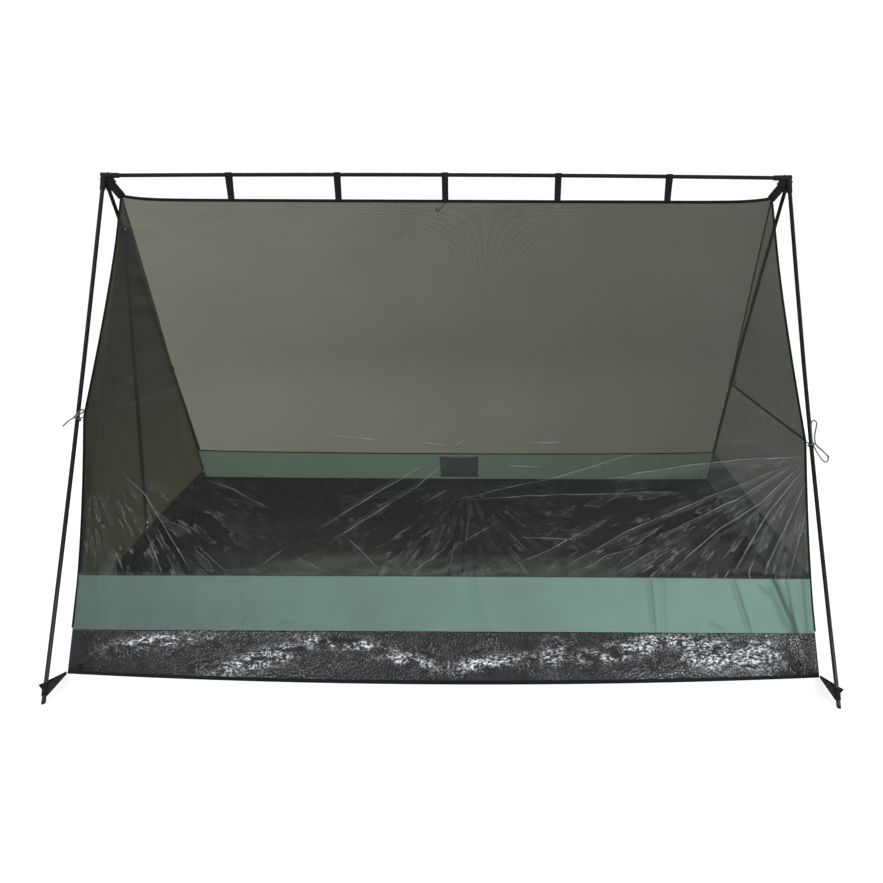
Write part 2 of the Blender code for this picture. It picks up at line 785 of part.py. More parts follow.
def make_floor_tub():
    pairs = tub_outline()
    count = len(pairs)
    points = [pair[0] for pair in pairs] + [pair[1] for pair in pairs]
    faces = [tuple(range(count))]
    for i in range(count):
        j = (i + 1) % count
        faces.append((i, j, j + count, i + count))
    mesh = bpy.data.meshes.new("floor_tub")
    mesh.from_pydata([Vector(p) for p in points], [], faces)
    shape = bmesh.new()
    shape.from_mesh(mesh)
    base = [face for face in shape.faces if len(face.verts) == count]
    bmesh.ops.triangulate(shape, faces=base)
    bmesh.ops.recalc_face_normals(shape, faces=shape.faces)
    downward = [face for face in shape.faces if abs(face.normal.z) > 0.9]
    if downward[0].normal.z > 0:
        bmesh.ops.reverse_faces(shape, faces=shape.faces)
    shape.to_mesh(mesh)
    shape.free()
    mesh.materials.append(finish_of("black_sheeting"))
    tub = bpy.data.objects.new("floor_tub", mesh)
    bpy.context.scene.collection.objects.link(tub)
    thicken(tub, TUB_THICKNESS, offset=-1.0)


def make_rear_pocket():
    """A flat pocket sewn inside the rear band, hanging down over the tub wall."""
    half = POCKET_WIDTH / 2
    lift = BAND_THICKNESS / 2 + 1.6 * CLEARANCE + POCKET_THICKNESS / 2
    inward = unit((0.0, -HIP_TOP, -FLOOR_HALF_DEPTH))
    rows = []
    for height in (POCKET_TOP, POCKET_FOOT):
        row = []
        for x in (POCKET_CENTRE_X - half, POCKET_CENTRE_X, POCKET_CENTRE_X + half):
            share = share_at(height)
            span = corner_x("rear") * share + RIDGE_CORNER_X * (1 - share)
            row.append(side_point("rear", share, 0.5 + x / (2 * span)) + inward * lift)
        rows.append(row)
    cloth_piece("rear_pocket", rows, POCKET_THICKNESS, "pocket_fabric")


# Webbing
def ribbon(name, path, widths, wide_dirs, thickness, finish):
    """A strip of webbing along a path, with its own width and direction of width at each point."""
    rows = []
    for point, width, wide in zip(path, widths, wide_dirs):
        half = np.asarray(wide, float) * width / 2
        rows.append([np.asarray(point, float) - half, np.asarray(point, float) + half])
    return cloth_piece(name, rows, thickness, finish)


def make_ridge_straps():
    """Short webbing loops from the ridge tape over the ridge pole."""
    turn_radius = POLE_RADIUS + 2 * CLEARANCE + WEBBING_THICKNESS / 2
    ply = WEBBING_THICKNESS / 2 + CLEARANCE
    wide = np.array([1.0, 0.0, 0.0])
    for number, share in enumerate(RIDGE_STRAP_SHARES, start=1):
        x = RIDGE_LENGTH * (share - 0.5)
        pole = ridge_point(x)
        foot = tape_top(x) + 2 * CLEARANCE
        drop = pole[2] - foot
        tangent = math.acos((turn_radius - ply) / drop)
        path = [np.array([x, -ply, foot])]
        for k in range(11):
            turn = -tangent + (2 * tangent - 2 * math.pi) * k / 10
            path.append(pole + turn_radius * np.array([0, math.sin(turn), -math.cos(turn)]))
        path.append(np.array([x, ply, foot]))
        count = len(path)
        ribbon(
            f"ridge_strap_{number}", path, [WEBBING_WIDTH] * count, [wide] * count,
            WEBBING_THICKNESS, "black_webbing",
        )


def make_apex_straps():
    """Corner straps: webbing from the ridge corner through the connector's eye and back."""
    half_bar = GUSSET_THICKNESS / 2 + CLEARANCE + WEBBING_THICKNESS / 2
    ply = WEBBING_THICKNESS / 2 + CLEARANCE
    for end in ENDS:
        apex = apex_of(end)
        along = strap_direction(end)
        wide = np.cross(along, np.array([0.0, 1.0, 0.0]))
        far = float(np.linalg.norm(mesh_ridge_corner(end) - apex))
        far -= RIDGE_TAPE_HEIGHT / 2 + BINDING_RADIUS + CLEARANCE
        near = GUSSET_REACH - GUSSET_BAR - CLEARANCE - WEBBING_THICKNESS / 2
        outer = GUSSET_REACH + CLEARANCE
        stops = ((far, -ply), (outer, -half_bar), (near, -half_bar))
        path = [apex + along * d + np.array([0.0, y, 0.0]) for d, y in stops]
        path += [apex + along * d + np.array([0.0, -y, 0.0]) for d, y in stops[::-1]]
        count = len(path)
        ribbon(
            f"apex_strap_{end}", path, [CORNER_WEBBING_WIDTH] * count, [wide] * count,
            WEBBING_THICKNESS, "black_webbing",
        )


def teardrop(name, leg_centre, leg_axis, anchor, height_at_pole, height_at_anchor, finish):
    """Webbing that leaves an anchor point, goes once round a leg and comes back."""
    toward = anchor - leg_centre
    toward = toward - leg_axis * np.dot(toward, leg_axis)
    distance = float(np.linalg.norm(toward))
    toward = unit(toward)
    side = np.cross(leg_axis, toward)
    radius = POLE_RADIUS + 2.5 * CLEARANCE + WEBBING_THICKNESS / 2
    ply = WEBBING_THICKNESS / 2 + CLEARANCE
    tangent = math.acos((radius - ply) / distance)
    path = [anchor - side * ply]
    heights = [height_at_anchor]
    for k in range(11):
        turn = -tangent - (2 * math.pi - 2 * tangent) * k / 10
        around = toward * math.cos(turn) + side * math.sin(turn)
        path.append(leg_centre + around * radius)
        heights.append(height_at_pole)
    path.append(anchor + side * ply)
    heights.append(height_at_anchor)
    wides = [leg_axis] * len(path)
    return ribbon(name, path, heights, wides, WEBBING_THICKNESS, finish)


def make_corner_tabs():
    """Webbing from each floor corner round the foot of its leg."""
    for face, end in CORNERS:
        axis = leg_direction(face, end)
        along = LEG_LENGTH[face] * (1 - TAB_CENTRE / APEX_HEIGHT)
        centre = leg_point(face, end, along)
        corner = straight_hip(face, end, 1.0)
        outward = unit(centre * np.array([1, 1, 0]) - corner * np.array([1, 1, 0]))
        anchor = corner + outward * 0.004
        anchor = anchor + np.array([0.0, 0.0, TAB_HEIGHT_AT_CORNER / 2 + 0.002])
        teardrop(
            f"corner_tab_{face}_{end}", centre, axis, anchor,
            TAB_HEIGHT_AT_POLE, TAB_HEIGHT_AT_CORNER, "black_webbing",
        )


def make_tie_wrap():
    """Wide webbing closed round the rear right leg, just above its tie."""
    lift = WRAP_ABOVE_TIE + WRAP_HEIGHT / 2
    centre = tie_leg_point("rear", "right", lift)
    axis = leg_direction("rear", "right")
    toward = unit(straight_hip("rear", "right", tie_share("rear", "right")) - centre)
    toward = unit(toward - axis * np.dot(toward, axis))
    teardrop(
        "tie_wrap_rear_right", centre, axis, centre + toward * WRAP_FLAP,
        WRAP_HEIGHT, WRAP_HEIGHT, "black_webbing",
    )


def make_guy_tape():
    """Flat tape across the outside of the right end, from tie to tie."""
    lift = MESH_THICKNESS / 2 + 2 * CLEARANCE + GUY_TAPE_THICKNESS / 2
    front_share = tie_share("front", "right")
    rear_share = tie_share("rear", "right")
    path = []
    spots = (0.0, 0.15, 0.32, 0.5, 0.68, 0.85, 1.0)
    for across in spots:
        share = front_share * (1 - across) + rear_share * across
        path.append(end_point("right", share, across))
    path = trim_ends(path, end_gap() + GUY_TAPE_WIDTH)
    lifted = []
    slopes = []
    for point, across in zip(path, spots):
        reach = FLOOR_HALF_LENGTH - REAR_CORNER_INSET * across - RIDGE_CORNER_X
        lifted.append(point + unit((HIP_TOP, 0.0, reach)) * lift)
        slopes.append(unit((reach, 0.0, -HIP_TOP)))
    ribbon(
        "guy_tape_right_end", lifted, [GUY_TAPE_WIDTH] * len(spots), slopes,
        GUY_TAPE_THICKNESS, "black_webbing",
    )


# Door
def door_half_width(share):
    """Half the width of the left end at a share of its height."""
    return abs(straight_hip("front", "left", share)[1])


def fold_line(face, share):
    """The line about which a door flap folds, just inside the hip seam."""
    hip = straight_hip(face, "left", share)
    return hip - np.array([0.0, SIDES[face] * (HIP_GAP + JAMB_WIDTH), 0.0])


def fold_direction(face):
    return unit(fold_line(face, 0.2) - fold_line(face, 0.8))


def door_foot_share():
    return share_at(SILL_TOP) - 2 * CLEARANCE / HIP_TOP


def zip_line(share):
    """The door's centre line, on the straight plane of the left end."""
    front = straight_hip("front", "left", share)
    return np.array([front[0], 0.0, front[2]])


ZIP_DIRECTION = unit(zip_line(0.0) - zip_line(1.0))
DOOR_OUTWARD = unit(np.cross(ZIP_DIRECTION, np.array([0.0, 1.0, 0.0])))
if DOOR_OUTWARD[0] > 0:
    DOOR_OUTWARD = -DOOR_OUTWARD


def make_door_flaps():
    foot = door_foot_share()
    shares = np.linspace(DOOR_TOP_SHARE, foot, 8)
    inner_edge = ZIP_GAP / 2 + COIL_WIDTH + ZIP_TAPE_WIDTH + CLEARANCE
    for face in SIDES:
        sign = SIDES[face]
        rows = []
        for share in shares:
            hinge_side = fold_line(face, share) - np.array([0.0, sign * HINGE_GAP, 0.0])
            zip_side = zip_line(share) + np.array([0.0, sign * inner_edge, 0.0])
            rows.append([lerp(hinge_side, zip_side, v) for v in (0.0, 0.33, 0.67, 1.0)])
        flap = cloth_piece(f"door_flap_{face}", rows, MESH_THICKNESS, "net")
        move_origin(flap, fold_line(face, 0.5))


def move_origin(piece, place):
    """Puts a piece's origin on its joint's axis without moving its shape."""
    place = Vector(place)
    shift = piece.location - place
    for vertex in piece.data.vertices:
        vertex.co += shift
    piece.location = place


def make_door_surround():
    """The fixed net round the door: an inverted V between the folds and the hip seams."""
    foot = door_foot_share()
    jamb_gap = np.array([0.0, CLEARANCE, 0.0])
    shares = [foot, 0.86, BAND_SHARE, *BEND_SHARES[::-1]]
    crown_share = DOOR_TOP_SHARE - 0.003
    rows = []
    for face in ("front", "rear"):
        sign = SIDES[face]
        leg_rows = []
        for share in shares:
            hip = hip_point(face, "left", share)
            outer = hip - np.array([0.0, sign * end_gap(), 0.0])
            inner = fold_line(face, share) + sign * jamb_gap
            leg_rows.append([outer, inner])
        top_outer = straight_hip(face, "left", 0.045)
        top_outer = top_outer - np.array([0.0, sign * end_gap(), 0.0])
        top_inner = fold_line(face, crown_share) + sign * jamb_gap
        leg_rows.append([top_outer, top_inner])
        rows.append(leg_rows)
    crown_outer = zip_line(0.022)
    crown_inner = zip_line(crown_share)
    strip = rows[0] + [[crown_outer, crown_inner]] + rows[1][::-1]
    cloth_piece("mesh_door_surround", strip, MESH_THICKNESS, "net")


def section_bar(name, outline, start, end, side, finish, origin=None):
    """A bar of constant section: outline holds (across, outward) pairs in the door's plane."""
    points = []
    for place in (start, end):
        for across, outward in outline:
            offset = np.array([0.0, side * across, 0.0]) + DOOR_OUTWARD * outward
            points.append(place + offset)
    count = len(outline)
    faces = [tuple(range(count)), tuple(range(count, 2 * count))]
    for k in range(count):
        j = (k + 1) % count
        faces.append((k, j, j + count, k + count))
    return piece_from(name, points, faces, finish, origin=start if origin is None else origin)


def make_zip():
    """Two tapes with a raised coil along their edges; the rear coil stops above the slider."""
    coil = COIL_THICKNESS / 2
    tape = ZIP_TAPE_THICKNESS / 2
    near = ZIP_GAP / 2
    far = near + COIL_WIDTH
    edge = far + ZIP_TAPE_WIDTH
    outline = (
        (near, -coil), (far, -coil), (far, -tape), (edge, -tape),
        (edge, tape), (far, tape), (far, coil), (near, coil),
    )
    foot = zip_line(door_foot_share())
    head = zip_line(DOOR_TOP_SHARE)
    tail = SLIDER_REST + SLIDER_LENGTH / 2 + 0.003
    for face in SIDES:
        start = foot if face == "front" else foot + ZIP_DIRECTION * tail
        section_bar(
            f"zip_tape_{face}", outline, start, head, SIDES[face], "zip_tape",
            origin=fold_line(face, 0.5),
        )


def slider_centre():
    return zip_line(door_foot_share()) + ZIP_DIRECTION * SLIDER_REST


def zip_block(name, centre, size, shift):
    """A block in the zip's own directions: along it, across it and outward."""
    along, across, outward = shift
    place = centre + ZIP_DIRECTION * along + np.array([0.0, across, 0.0]) + DOOR_OUTWARD * outward
    return box_along(name, place, ZIP_DIRECTION, np.array([0.0, 1.0, 0.0]), size, "zip_metal")


def pin_height():
    return COIL_THICKNESS / 2 + CLEARANCE + SLIDER_PLATE + PIN_LIFT


def make_zip_slider():
    """Two plates on a centre post, with an ear on each face that holds a pull."""
    centre = slider_centre()
    inner_face = COIL_THICKNESS / 2 + CLEARANCE
    middle = inner_face + SLIDER_PLATE / 2
    plate = (SLIDER_LENGTH, SLIDER_WIDTH, SLIDER_PLATE)
    body = zip_block("zip_slider", centre, plate, (0, 0, middle))
    back = zip_block("zip_slider_back", centre, plate, (0, 0, -middle))
    boolean(body, back, "UNION")
    post = zip_block(
        "zip_slider_post", centre,
        (0.0035, ZIP_GAP - 2 * CLEARANCE, 2 * middle), (-SLIDER_LENGTH / 2 + 0.002, 0, 0),
    )
    boolean(body, post, "UNION")
    ear_gap = PULL_WIDTH / 2 + CLEARANCE
    ear_width = 0.0010
    for side in (1, -1):
        height = pin_height() + PIN_RADIUS - inner_face - SLIDER_PLATE / 2
        for hand in (1, -1):
            ear = zip_block(
                f"zip_slider_ear_{side}_{hand}", centre, (0.0022, ear_width, height),
                (0, hand * (ear_gap + ear_width / 2), side * (middle + height / 2)),
            )
            boolean(body, ear, "UNION")
        pin_centre = centre + DOOR_OUTWARD * side * pin_height()
        reach = np.array([0.0, ear_gap + ear_width / 2, 0.0])
        pin = cone_between(
            f"zip_slider_pin_{side}", pin_centre - reach, pin_centre + reach,
            PIN_RADIUS, PIN_RADIUS, sides=10,
        )
        boolean(body, pin, "UNION")


def make_zip_pull(name, side, hang):
    """A flat pull with an eye that turns on the slider's pin."""
    pivot = slider_centre() + DOOR_OUTWARD * side * pin_height()
    across = np.array([0.0, 1.0, 0.0])
    outer = PIN_RADIUS + CLEARANCE + EYE_WALL
    half = np.array([0.0, PULL_WIDTH / 2, 0.0])
    eye = cone_between(name, pivot - half, pivot + half, outer, outer, sides=14)
    eye.data.materials.append(finish_of("zip_metal"))
    tongue_start = outer * 0.6
    tongue_centre = pivot + hang * (tongue_start + (PULL_LENGTH - tongue_start) / 2)
    tongue = box_along(
        f"{name}_tongue", tongue_centre, hang, across,
        (PULL_LENGTH - tongue_start, PULL_WIDTH, PULL_THICKNESS), "zip_metal",
    )
    boolean(eye, tongue, "UNION")
    hole = cone_between(
        f"{name}_hole", pivot - half * 1.2, pivot + half * 1.2,
        PIN_RADIUS + CLEARANCE, PIN_RADIUS + CLEARANCE, sides=14,
    )
    boolean(eye, hole, "DIFFERENCE")


# Ties
def smooth_path(points, per_span=4):
    """Catmull-Rom curve through a route's own points."""
    points = [np.asarray(p, float) for p in points]
    ends = [2 * points[0] - points[1]] + points + [2 * points[-1] - points[-2]]
    path = []
    for i in range(1, len(ends) - 2):
        a, b, c, d = ends[i - 1 : i + 3]
        for k in range(per_span):
            t = k / per_span
            path.append(
                0.5 * (2 * b + (c - a) * t + (2 * a - 5 * b + 4 * c - d) * t * t
                       + (3 * b - a - 3 * c + d) * t ** 3)
            )
    path.append(points[-1])
    return path


# Routes of the loose ends, in millimetres from the leg's centre at the tie:
# toward the hip, outward past the leg, and up.
TIE_LOOSE = {
    "front_left": (
        (-13, 2, 2), (-15, -7, 10), (-14, -17, 20), (-12, -25, 28), (-9, -29, 27), (-9, -28, 21),
        (-13, -18, 13), (-18, -7, 4), (-20, 4, -3), (-18, 19, -11), (-15, 36, -24),
    ),
    "front_right": (
        (-10, 6, 2), (-13, 14, -7), (-14, 25, -18), (-15, 34, -28), (-17, 40, -38), (-18, 37, -49),
        (-19, 28, -53), (-20, 18, -47), (-20, 9, -34), (-20, 0, -19), (-21, -7, -3), (-21, -10, 14),
        (-20, -9, 31), (-19, -8, 48), (-19, -7, 61), (-20, -2, 70), (-21, 5, 70), (-22, 9, 61),
        (-23, 5, 48), (-24, -1, 33), (-26, -5, 19), (-27, -5, 4), (-27, 2, -8), (-27, 13, -18),
        (-26, 25, -28), (-26, 37, -39),
    ),
    "rear_left": ((-13, 2, 5), (-17, 8, 6), (-21, 12, -2), (-23, 13, -14), (-24, 13, -28)),
    "rear_right": ((-13, 2, 0), (-17, 8, 0), (-21, 12, -6), (-23, 13, -18), (-24, 13, -31)),
}


def tie_route(face, end):
    """From the hip seam, once round the leg, then the loose end."""
    leg = tie_leg_point(face, end)
    axis = -leg_direction(face, end)
    hip = hip_point(face, end, tie_share(face, end))
    toward = hip - leg
    toward = unit(toward - axis * np.dot(toward, axis))
    away = np.cross(axis, toward)
    if np.dot(away, np.array([ENDS[end], 0, 0])) < 0:
        away = -away
    radius = POLE_RADIUS + TIE_CORD_RADIUS + 3 * CLEARANCE
    turns = 9
    wrap = []
    for k in range(turns):
        turn = -0.45 * math.pi + 1.55 * math.pi * k / (turns - 1)
        around = toward * math.cos(turn) - away * math.sin(turn)
        rise = -0.0050 + 0.0085 * k / (turns - 1)
        wrap.append(leg + around * radius + axis * rise)
    start = hip + unit(wrap[0] - hip) * (BINDING_RADIUS + TIE_CORD_RADIUS)
    route = [lerp(start, wrap[0], share) for share in (0.0, 0.35, 0.7, 0.92)] + wrap
    for a, b, c in TIE_LOOSE[f"{face}_{end}"]:
        route.append(leg + (toward * a + away * b + axis * c) / 1000)
    return route


def cord_piece(name, path, radius, finish):
    curve = bpy.data.curves.new(name, "CURVE")
    curve.dimensions = "3D"
    curve.bevel_depth = radius
    curve.bevel_resolution = 1
    curve.use_fill_caps = True
    spline = curve.splines.new("POLY")
    spline.points.add(len(path) - 1)
    for spot, place in zip(spline.points, path):
        spot.co = (*place, 1.0)
    curve.materials.append(finish_of(finish))
    cord = bpy.data.objects.new(name, curve)
    bpy.context.scene.collection.objects.link(cord)
    return cord


def make_ties():
    for face, end in CORNERS:
        path = smooth_path(tie_route(face, end), per_span=2)
        cord_piece(f"tie_cord_{face}_{end}", path, TIE_CORD_RADIUS, "tie_cord")
        length = sum(np.linalg.norm(b - a) for a, b in zip(path, path[1:]))
        print(f"tie_cord_{face}_{end}: {len(path)} points, {length * 1000:.0f} mm long")


# Small hook at the ridge
def hook_normal():
    """Inward normal of the front panel near the ridge."""
    return unit((0.0, HIP_TOP, -FLOOR_HALF_DEPTH))


def hook_pivot():
    out = RIDGE_TAPE_WIDTH / 2 + HOOK_PEG_REACH
    return np.array([HOOK_X, -out, RIDGE_TAPE_TOP - RIDGE_TAPE_HEIGHT * 0.62])


def make_ridge_hook():
    """A slim moulded hook that hangs on the ridge tape's peg, outside the front panel."""
    pivot = hook_pivot()
    normal = hook_normal()
    down = unit(np.cross(normal, (1.0, 0.0, 0.0)))
    if down[2] > 0:
        down = -down
    side = np.array([-1.0, 0.0, 0.0])
    tilt = math.radians(HOOK_TILT_DEG)
    fall = down * math.cos(tilt) + side * math.sin(tilt)
    swing = side * math.cos(tilt) - down * math.sin(tilt)
    ring_inner = HOOK_PEG_RADIUS + CLEARANCE
    ring = ring_inner + 2 * HOOK_WIRE
    body = cone_between(
        "ridge_hook", pivot - normal * HOOK_WIRE, pivot + normal * HOOK_WIRE, ring, ring, sides=16,
    )
    body.data.materials.append(finish_of("black_moulding"))
    bend = 0.0045
    foot = HOOK_LENGTH - bend
    path = [pivot + fall * (ring * 0.8)]
    path.append(pivot + fall * (foot * 0.6))
    for k in range(7):
        turn = math.pi * k / 6
        path.append(pivot + fall * (foot + bend * math.sin(turn)) + swing * bend * (1 - math.cos(turn)))
    path.append(pivot + fall * (foot - 0.006) + swing * 2.15 * bend)
    shank = round_bar("ridge_hook_shank", path, HOOK_WIRE, "black_moulding", sides=8)
    boolean(body, shank, "UNION")
    hole = cone_between(
        "ridge_hook_hole", pivot - normal * 0.004, pivot + normal * 0.004,
        ring_inner, ring_inner, sides=16,
    )
    boolean(body, hole, "DIFFERENCE")


def main():
    clear_scene()
    make_ridge_pole()
    make_legs()
    make_leg_plugs()
    make_shock_cords()
    for end in ENDS:
        make_apex_connector(end)
    make_floor_tub()
    make_side_panels()
    make_right_end_panels()
    make_hip_bindings()
    make_ridge_tape()
    make_ridge_straps()
    make_apex_straps()
    make_corner_tabs()
    make_tie_wrap()
    make_guy_tape()
    make_rear_pocket()
    make_door_flaps()
    make_door_surround()
    make_zip()
    make_zip_slider()
    make_zip_pull("zip_pull_outside", 1, -ZIP_DIRECTION)
    make_zip_pull("zip_pull_inside", -1, np.array([0.0, 0.0, -1.0]))
    make_ties()
    make_ridge_hook()


main()
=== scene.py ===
# %% [markdown]
# # A mesh ridge tent for the studio
# The tent arrives as plain solids: poles, net panels, a tub floor and some webbing.
# This lesson keeps the rigid pieces, gives them better finishes, and builds every
# soft piece again as cloth, webbing or cord. It works in metres, X along the ridge,
# the long front side towards -Y and the ground at z = 0.

# %% Load the frame
import math

import bpy
import numpy as np
from mathutils import Matrix


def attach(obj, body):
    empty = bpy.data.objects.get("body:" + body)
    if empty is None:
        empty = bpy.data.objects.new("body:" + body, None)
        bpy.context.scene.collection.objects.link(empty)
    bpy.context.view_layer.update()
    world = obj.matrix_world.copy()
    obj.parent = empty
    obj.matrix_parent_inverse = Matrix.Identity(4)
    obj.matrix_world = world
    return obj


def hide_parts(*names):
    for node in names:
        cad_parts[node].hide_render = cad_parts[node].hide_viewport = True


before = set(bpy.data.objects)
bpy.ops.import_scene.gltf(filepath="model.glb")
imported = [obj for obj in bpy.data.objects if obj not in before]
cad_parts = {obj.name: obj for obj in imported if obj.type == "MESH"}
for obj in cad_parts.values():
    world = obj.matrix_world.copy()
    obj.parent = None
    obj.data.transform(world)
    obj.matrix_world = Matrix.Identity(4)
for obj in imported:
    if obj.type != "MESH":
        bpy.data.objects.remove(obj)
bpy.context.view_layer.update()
print("CAD nodes:", len(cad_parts))

# %% [markdown]
# ## Camera
# The camera comes first, so that every later look is through the same eye. It stands
# about 2.5 m in front of the tent and 1.5 m up, and looks down by 22 degrees. Its place
# was worked out from the apexes, the feet and the floor's corners. The small shift
# frames the picture without turning the lens.

# %% Camera
camera_data = bpy.data.cameras.new("studio_camera")
camera_data.sensor_fit = "HORIZONTAL"
camera_data.sensor_width = 36.0
camera_data.lens = 30.82
camera_data.shift_x = -0.04676
camera_data.shift_y = 0.00045
camera = bpy.data.objects.new("studio_camera", camera_data)
bpy.context.scene.collection.objects.link(camera)
camera.matrix_world = Matrix((
    (1.0000, -0.0047, 0.0021, 0.1216),
    (0.0037, 0.3784, -0.9256, -2.4524),
    (0.0035, 0.9256, 0.3784, 1.5186),
    (0.0, 0.0, 0.0, 1.0),
))
bpy.context.scene.camera = camera
print("camera at", [round(v, 2) for v in camera.location])

# %% [markdown]
# ## The sizes that the cloth is cut to
# Cloth is drawn between a few hard points: the ends of the ridge, the floor's corners,
# and the four ties that pull the hip seams out to the legs. The same values drove the
# solids, so the cloth ends up in the place of the solid that it replaces.

# %% Sizes
APEX_X, APEX_HEIGHT = 1.050, 1.3935
FOOT_X, FOOT_Y = 1.140, {"front": 0.733, "rear": 0.700}
LEG_BOW = {"left": 0.0045, "right": 0.0085}
POLE_RADIUS = 0.006
RIDGE_CORNER_X = 1.007
TAPE_TOP, TAPE_RISE, TAPE_RISE_POWER = 1.3265, 0.0127, 18
HIP_TOP = 1.3299
PANEL_DROP = 0.0093
FLOOR_X, FLOOR_Y = 1.136, 0.606
REAR_CORNER_INSET = 0.029
BULGE = {"front": 0.040, "rear": -0.080}
BAND_TOP, WALL_TOP, SILL_TOP = 0.2755, 0.1207, 0.165
PANEL_SAG = 0.014
TIE_HEIGHT = {
    ("front", "left"): 0.726, ("front", "right"): 0.667,
    ("rear", "left"): 0.667, ("rear", "right"): 0.616,
}
TIE_PULL = {"front": 0.052, "rear": 0.042}
TIE_REACH, TIE_FALL, TIE_SPREAD = 0.37, 1.5, 0.26
SLOPE_LENGTH = math.hypot(HIP_TOP, FLOOR_Y)
SIDES = {"front": -1, "rear": 1}
ENDS = {"left": -1, "right": 1}
print("panel slope", round(SLOPE_LENGTH, 3), "m")

# %% [markdown]
# ## Where the hips and legs run
# A hip is the sloping seam between a long side and an end. Left alone it would be a
# straight line from the ridge to the floor. A tie draws it out into a soft corner, so
# its shape is the straight line plus a pull that fades away up and down the seam.

# %% Hips and legs
def unit(vector):
    vector = np.asarray(vector, float)
    return vector / np.linalg.norm(vector)


def share_at(height):
    """How far down the slope a height is: 0 at the ridge, 1 on the ground."""
    return 1.0 - height / HIP_TOP


def apex_of(end):
    return np.array([ENDS[end] * APEX_X, 0.0, APEX_HEIGHT])


def leg_direction(face, end):
    foot = np.array([ENDS[end] * FOOT_X, SIDES[face] * FOOT_Y[face], 0.0])
    return unit(foot - apex_of(end))


def leg_length(face):
    return float(np.linalg.norm([FOOT_X - APEX_X, FOOT_Y[face], APEX_HEIGHT]))


def leg_point(face, end, height):
    """The leg's centre at about a height; its ties bow it a little towards the tent."""
    share = 1 - height / APEX_HEIGHT
    bow = LEG_BOW[end] * math.sin(math.pi * share)
    inward = np.array([-ENDS[end] * bow, 0.0, 0.0])
    return apex_of(end) + leg_direction(face, end) * share * leg_length(face) + inward


def corner_x(face):
    """Half the length between the floor corners of a side; the rear ones are drawn in."""
    return FLOOR_X - (REAR_CORNER_INSET if face == "rear" else 0.0)


def rear_part(end, across):
    """How far an end has gone over to its rear line; the left end is flat up to the zip."""
    return np.clip(2 * across - 1, 0, None) if end == "left" else across


def straight_hip(face, end, share):
    share = np.asarray(share, float)[..., None]
    top = np.array([ENDS[end] * RIDGE_CORNER_X, SIDES[face] * 0.0016, HIP_TOP])
    low = np.array([ENDS[end] * corner_x(face), SIDES[face] * FLOOR_Y, 0.0])
    return top * (1 - share) + low * share


def tie_share(face, end):
    return share_at(TIE_HEIGHT[face, end])


def tie_direction(face, end):
    leg = leg_point(face, end, TIE_HEIGHT[face, end])
    return unit(leg - straight_hip(face, end, tie_share(face, end)))


def tie_weight(face, end, share):
    away = np.abs(np.asarray(share) - tie_share(face, end)) / TIE_REACH
    return np.clip(1 - away, 0, None) ** TIE_FALL


def hip_point(face, end, share):
    pull = TIE_PULL[face] * tie_weight(face, end, share)
    return straight_hip(face, end, share) + tie_direction(face, end) * np.asarray(pull)[..., None]


front_right = hip_point("front", "right", tie_share("front", "right"))
print("front right tie at", np.round(front_right, 3))

# %% [markdown]
# ## Finishes
# Every finish is a Principled shader with procedural detail behind it. Threads are made
# from sines of the cloth's own coordinates, which each piece carries as a UV map in
# metres, so the weave keeps its real scale on every panel. One helper starts a finish,
# and small helpers add the nodes that several of them need.

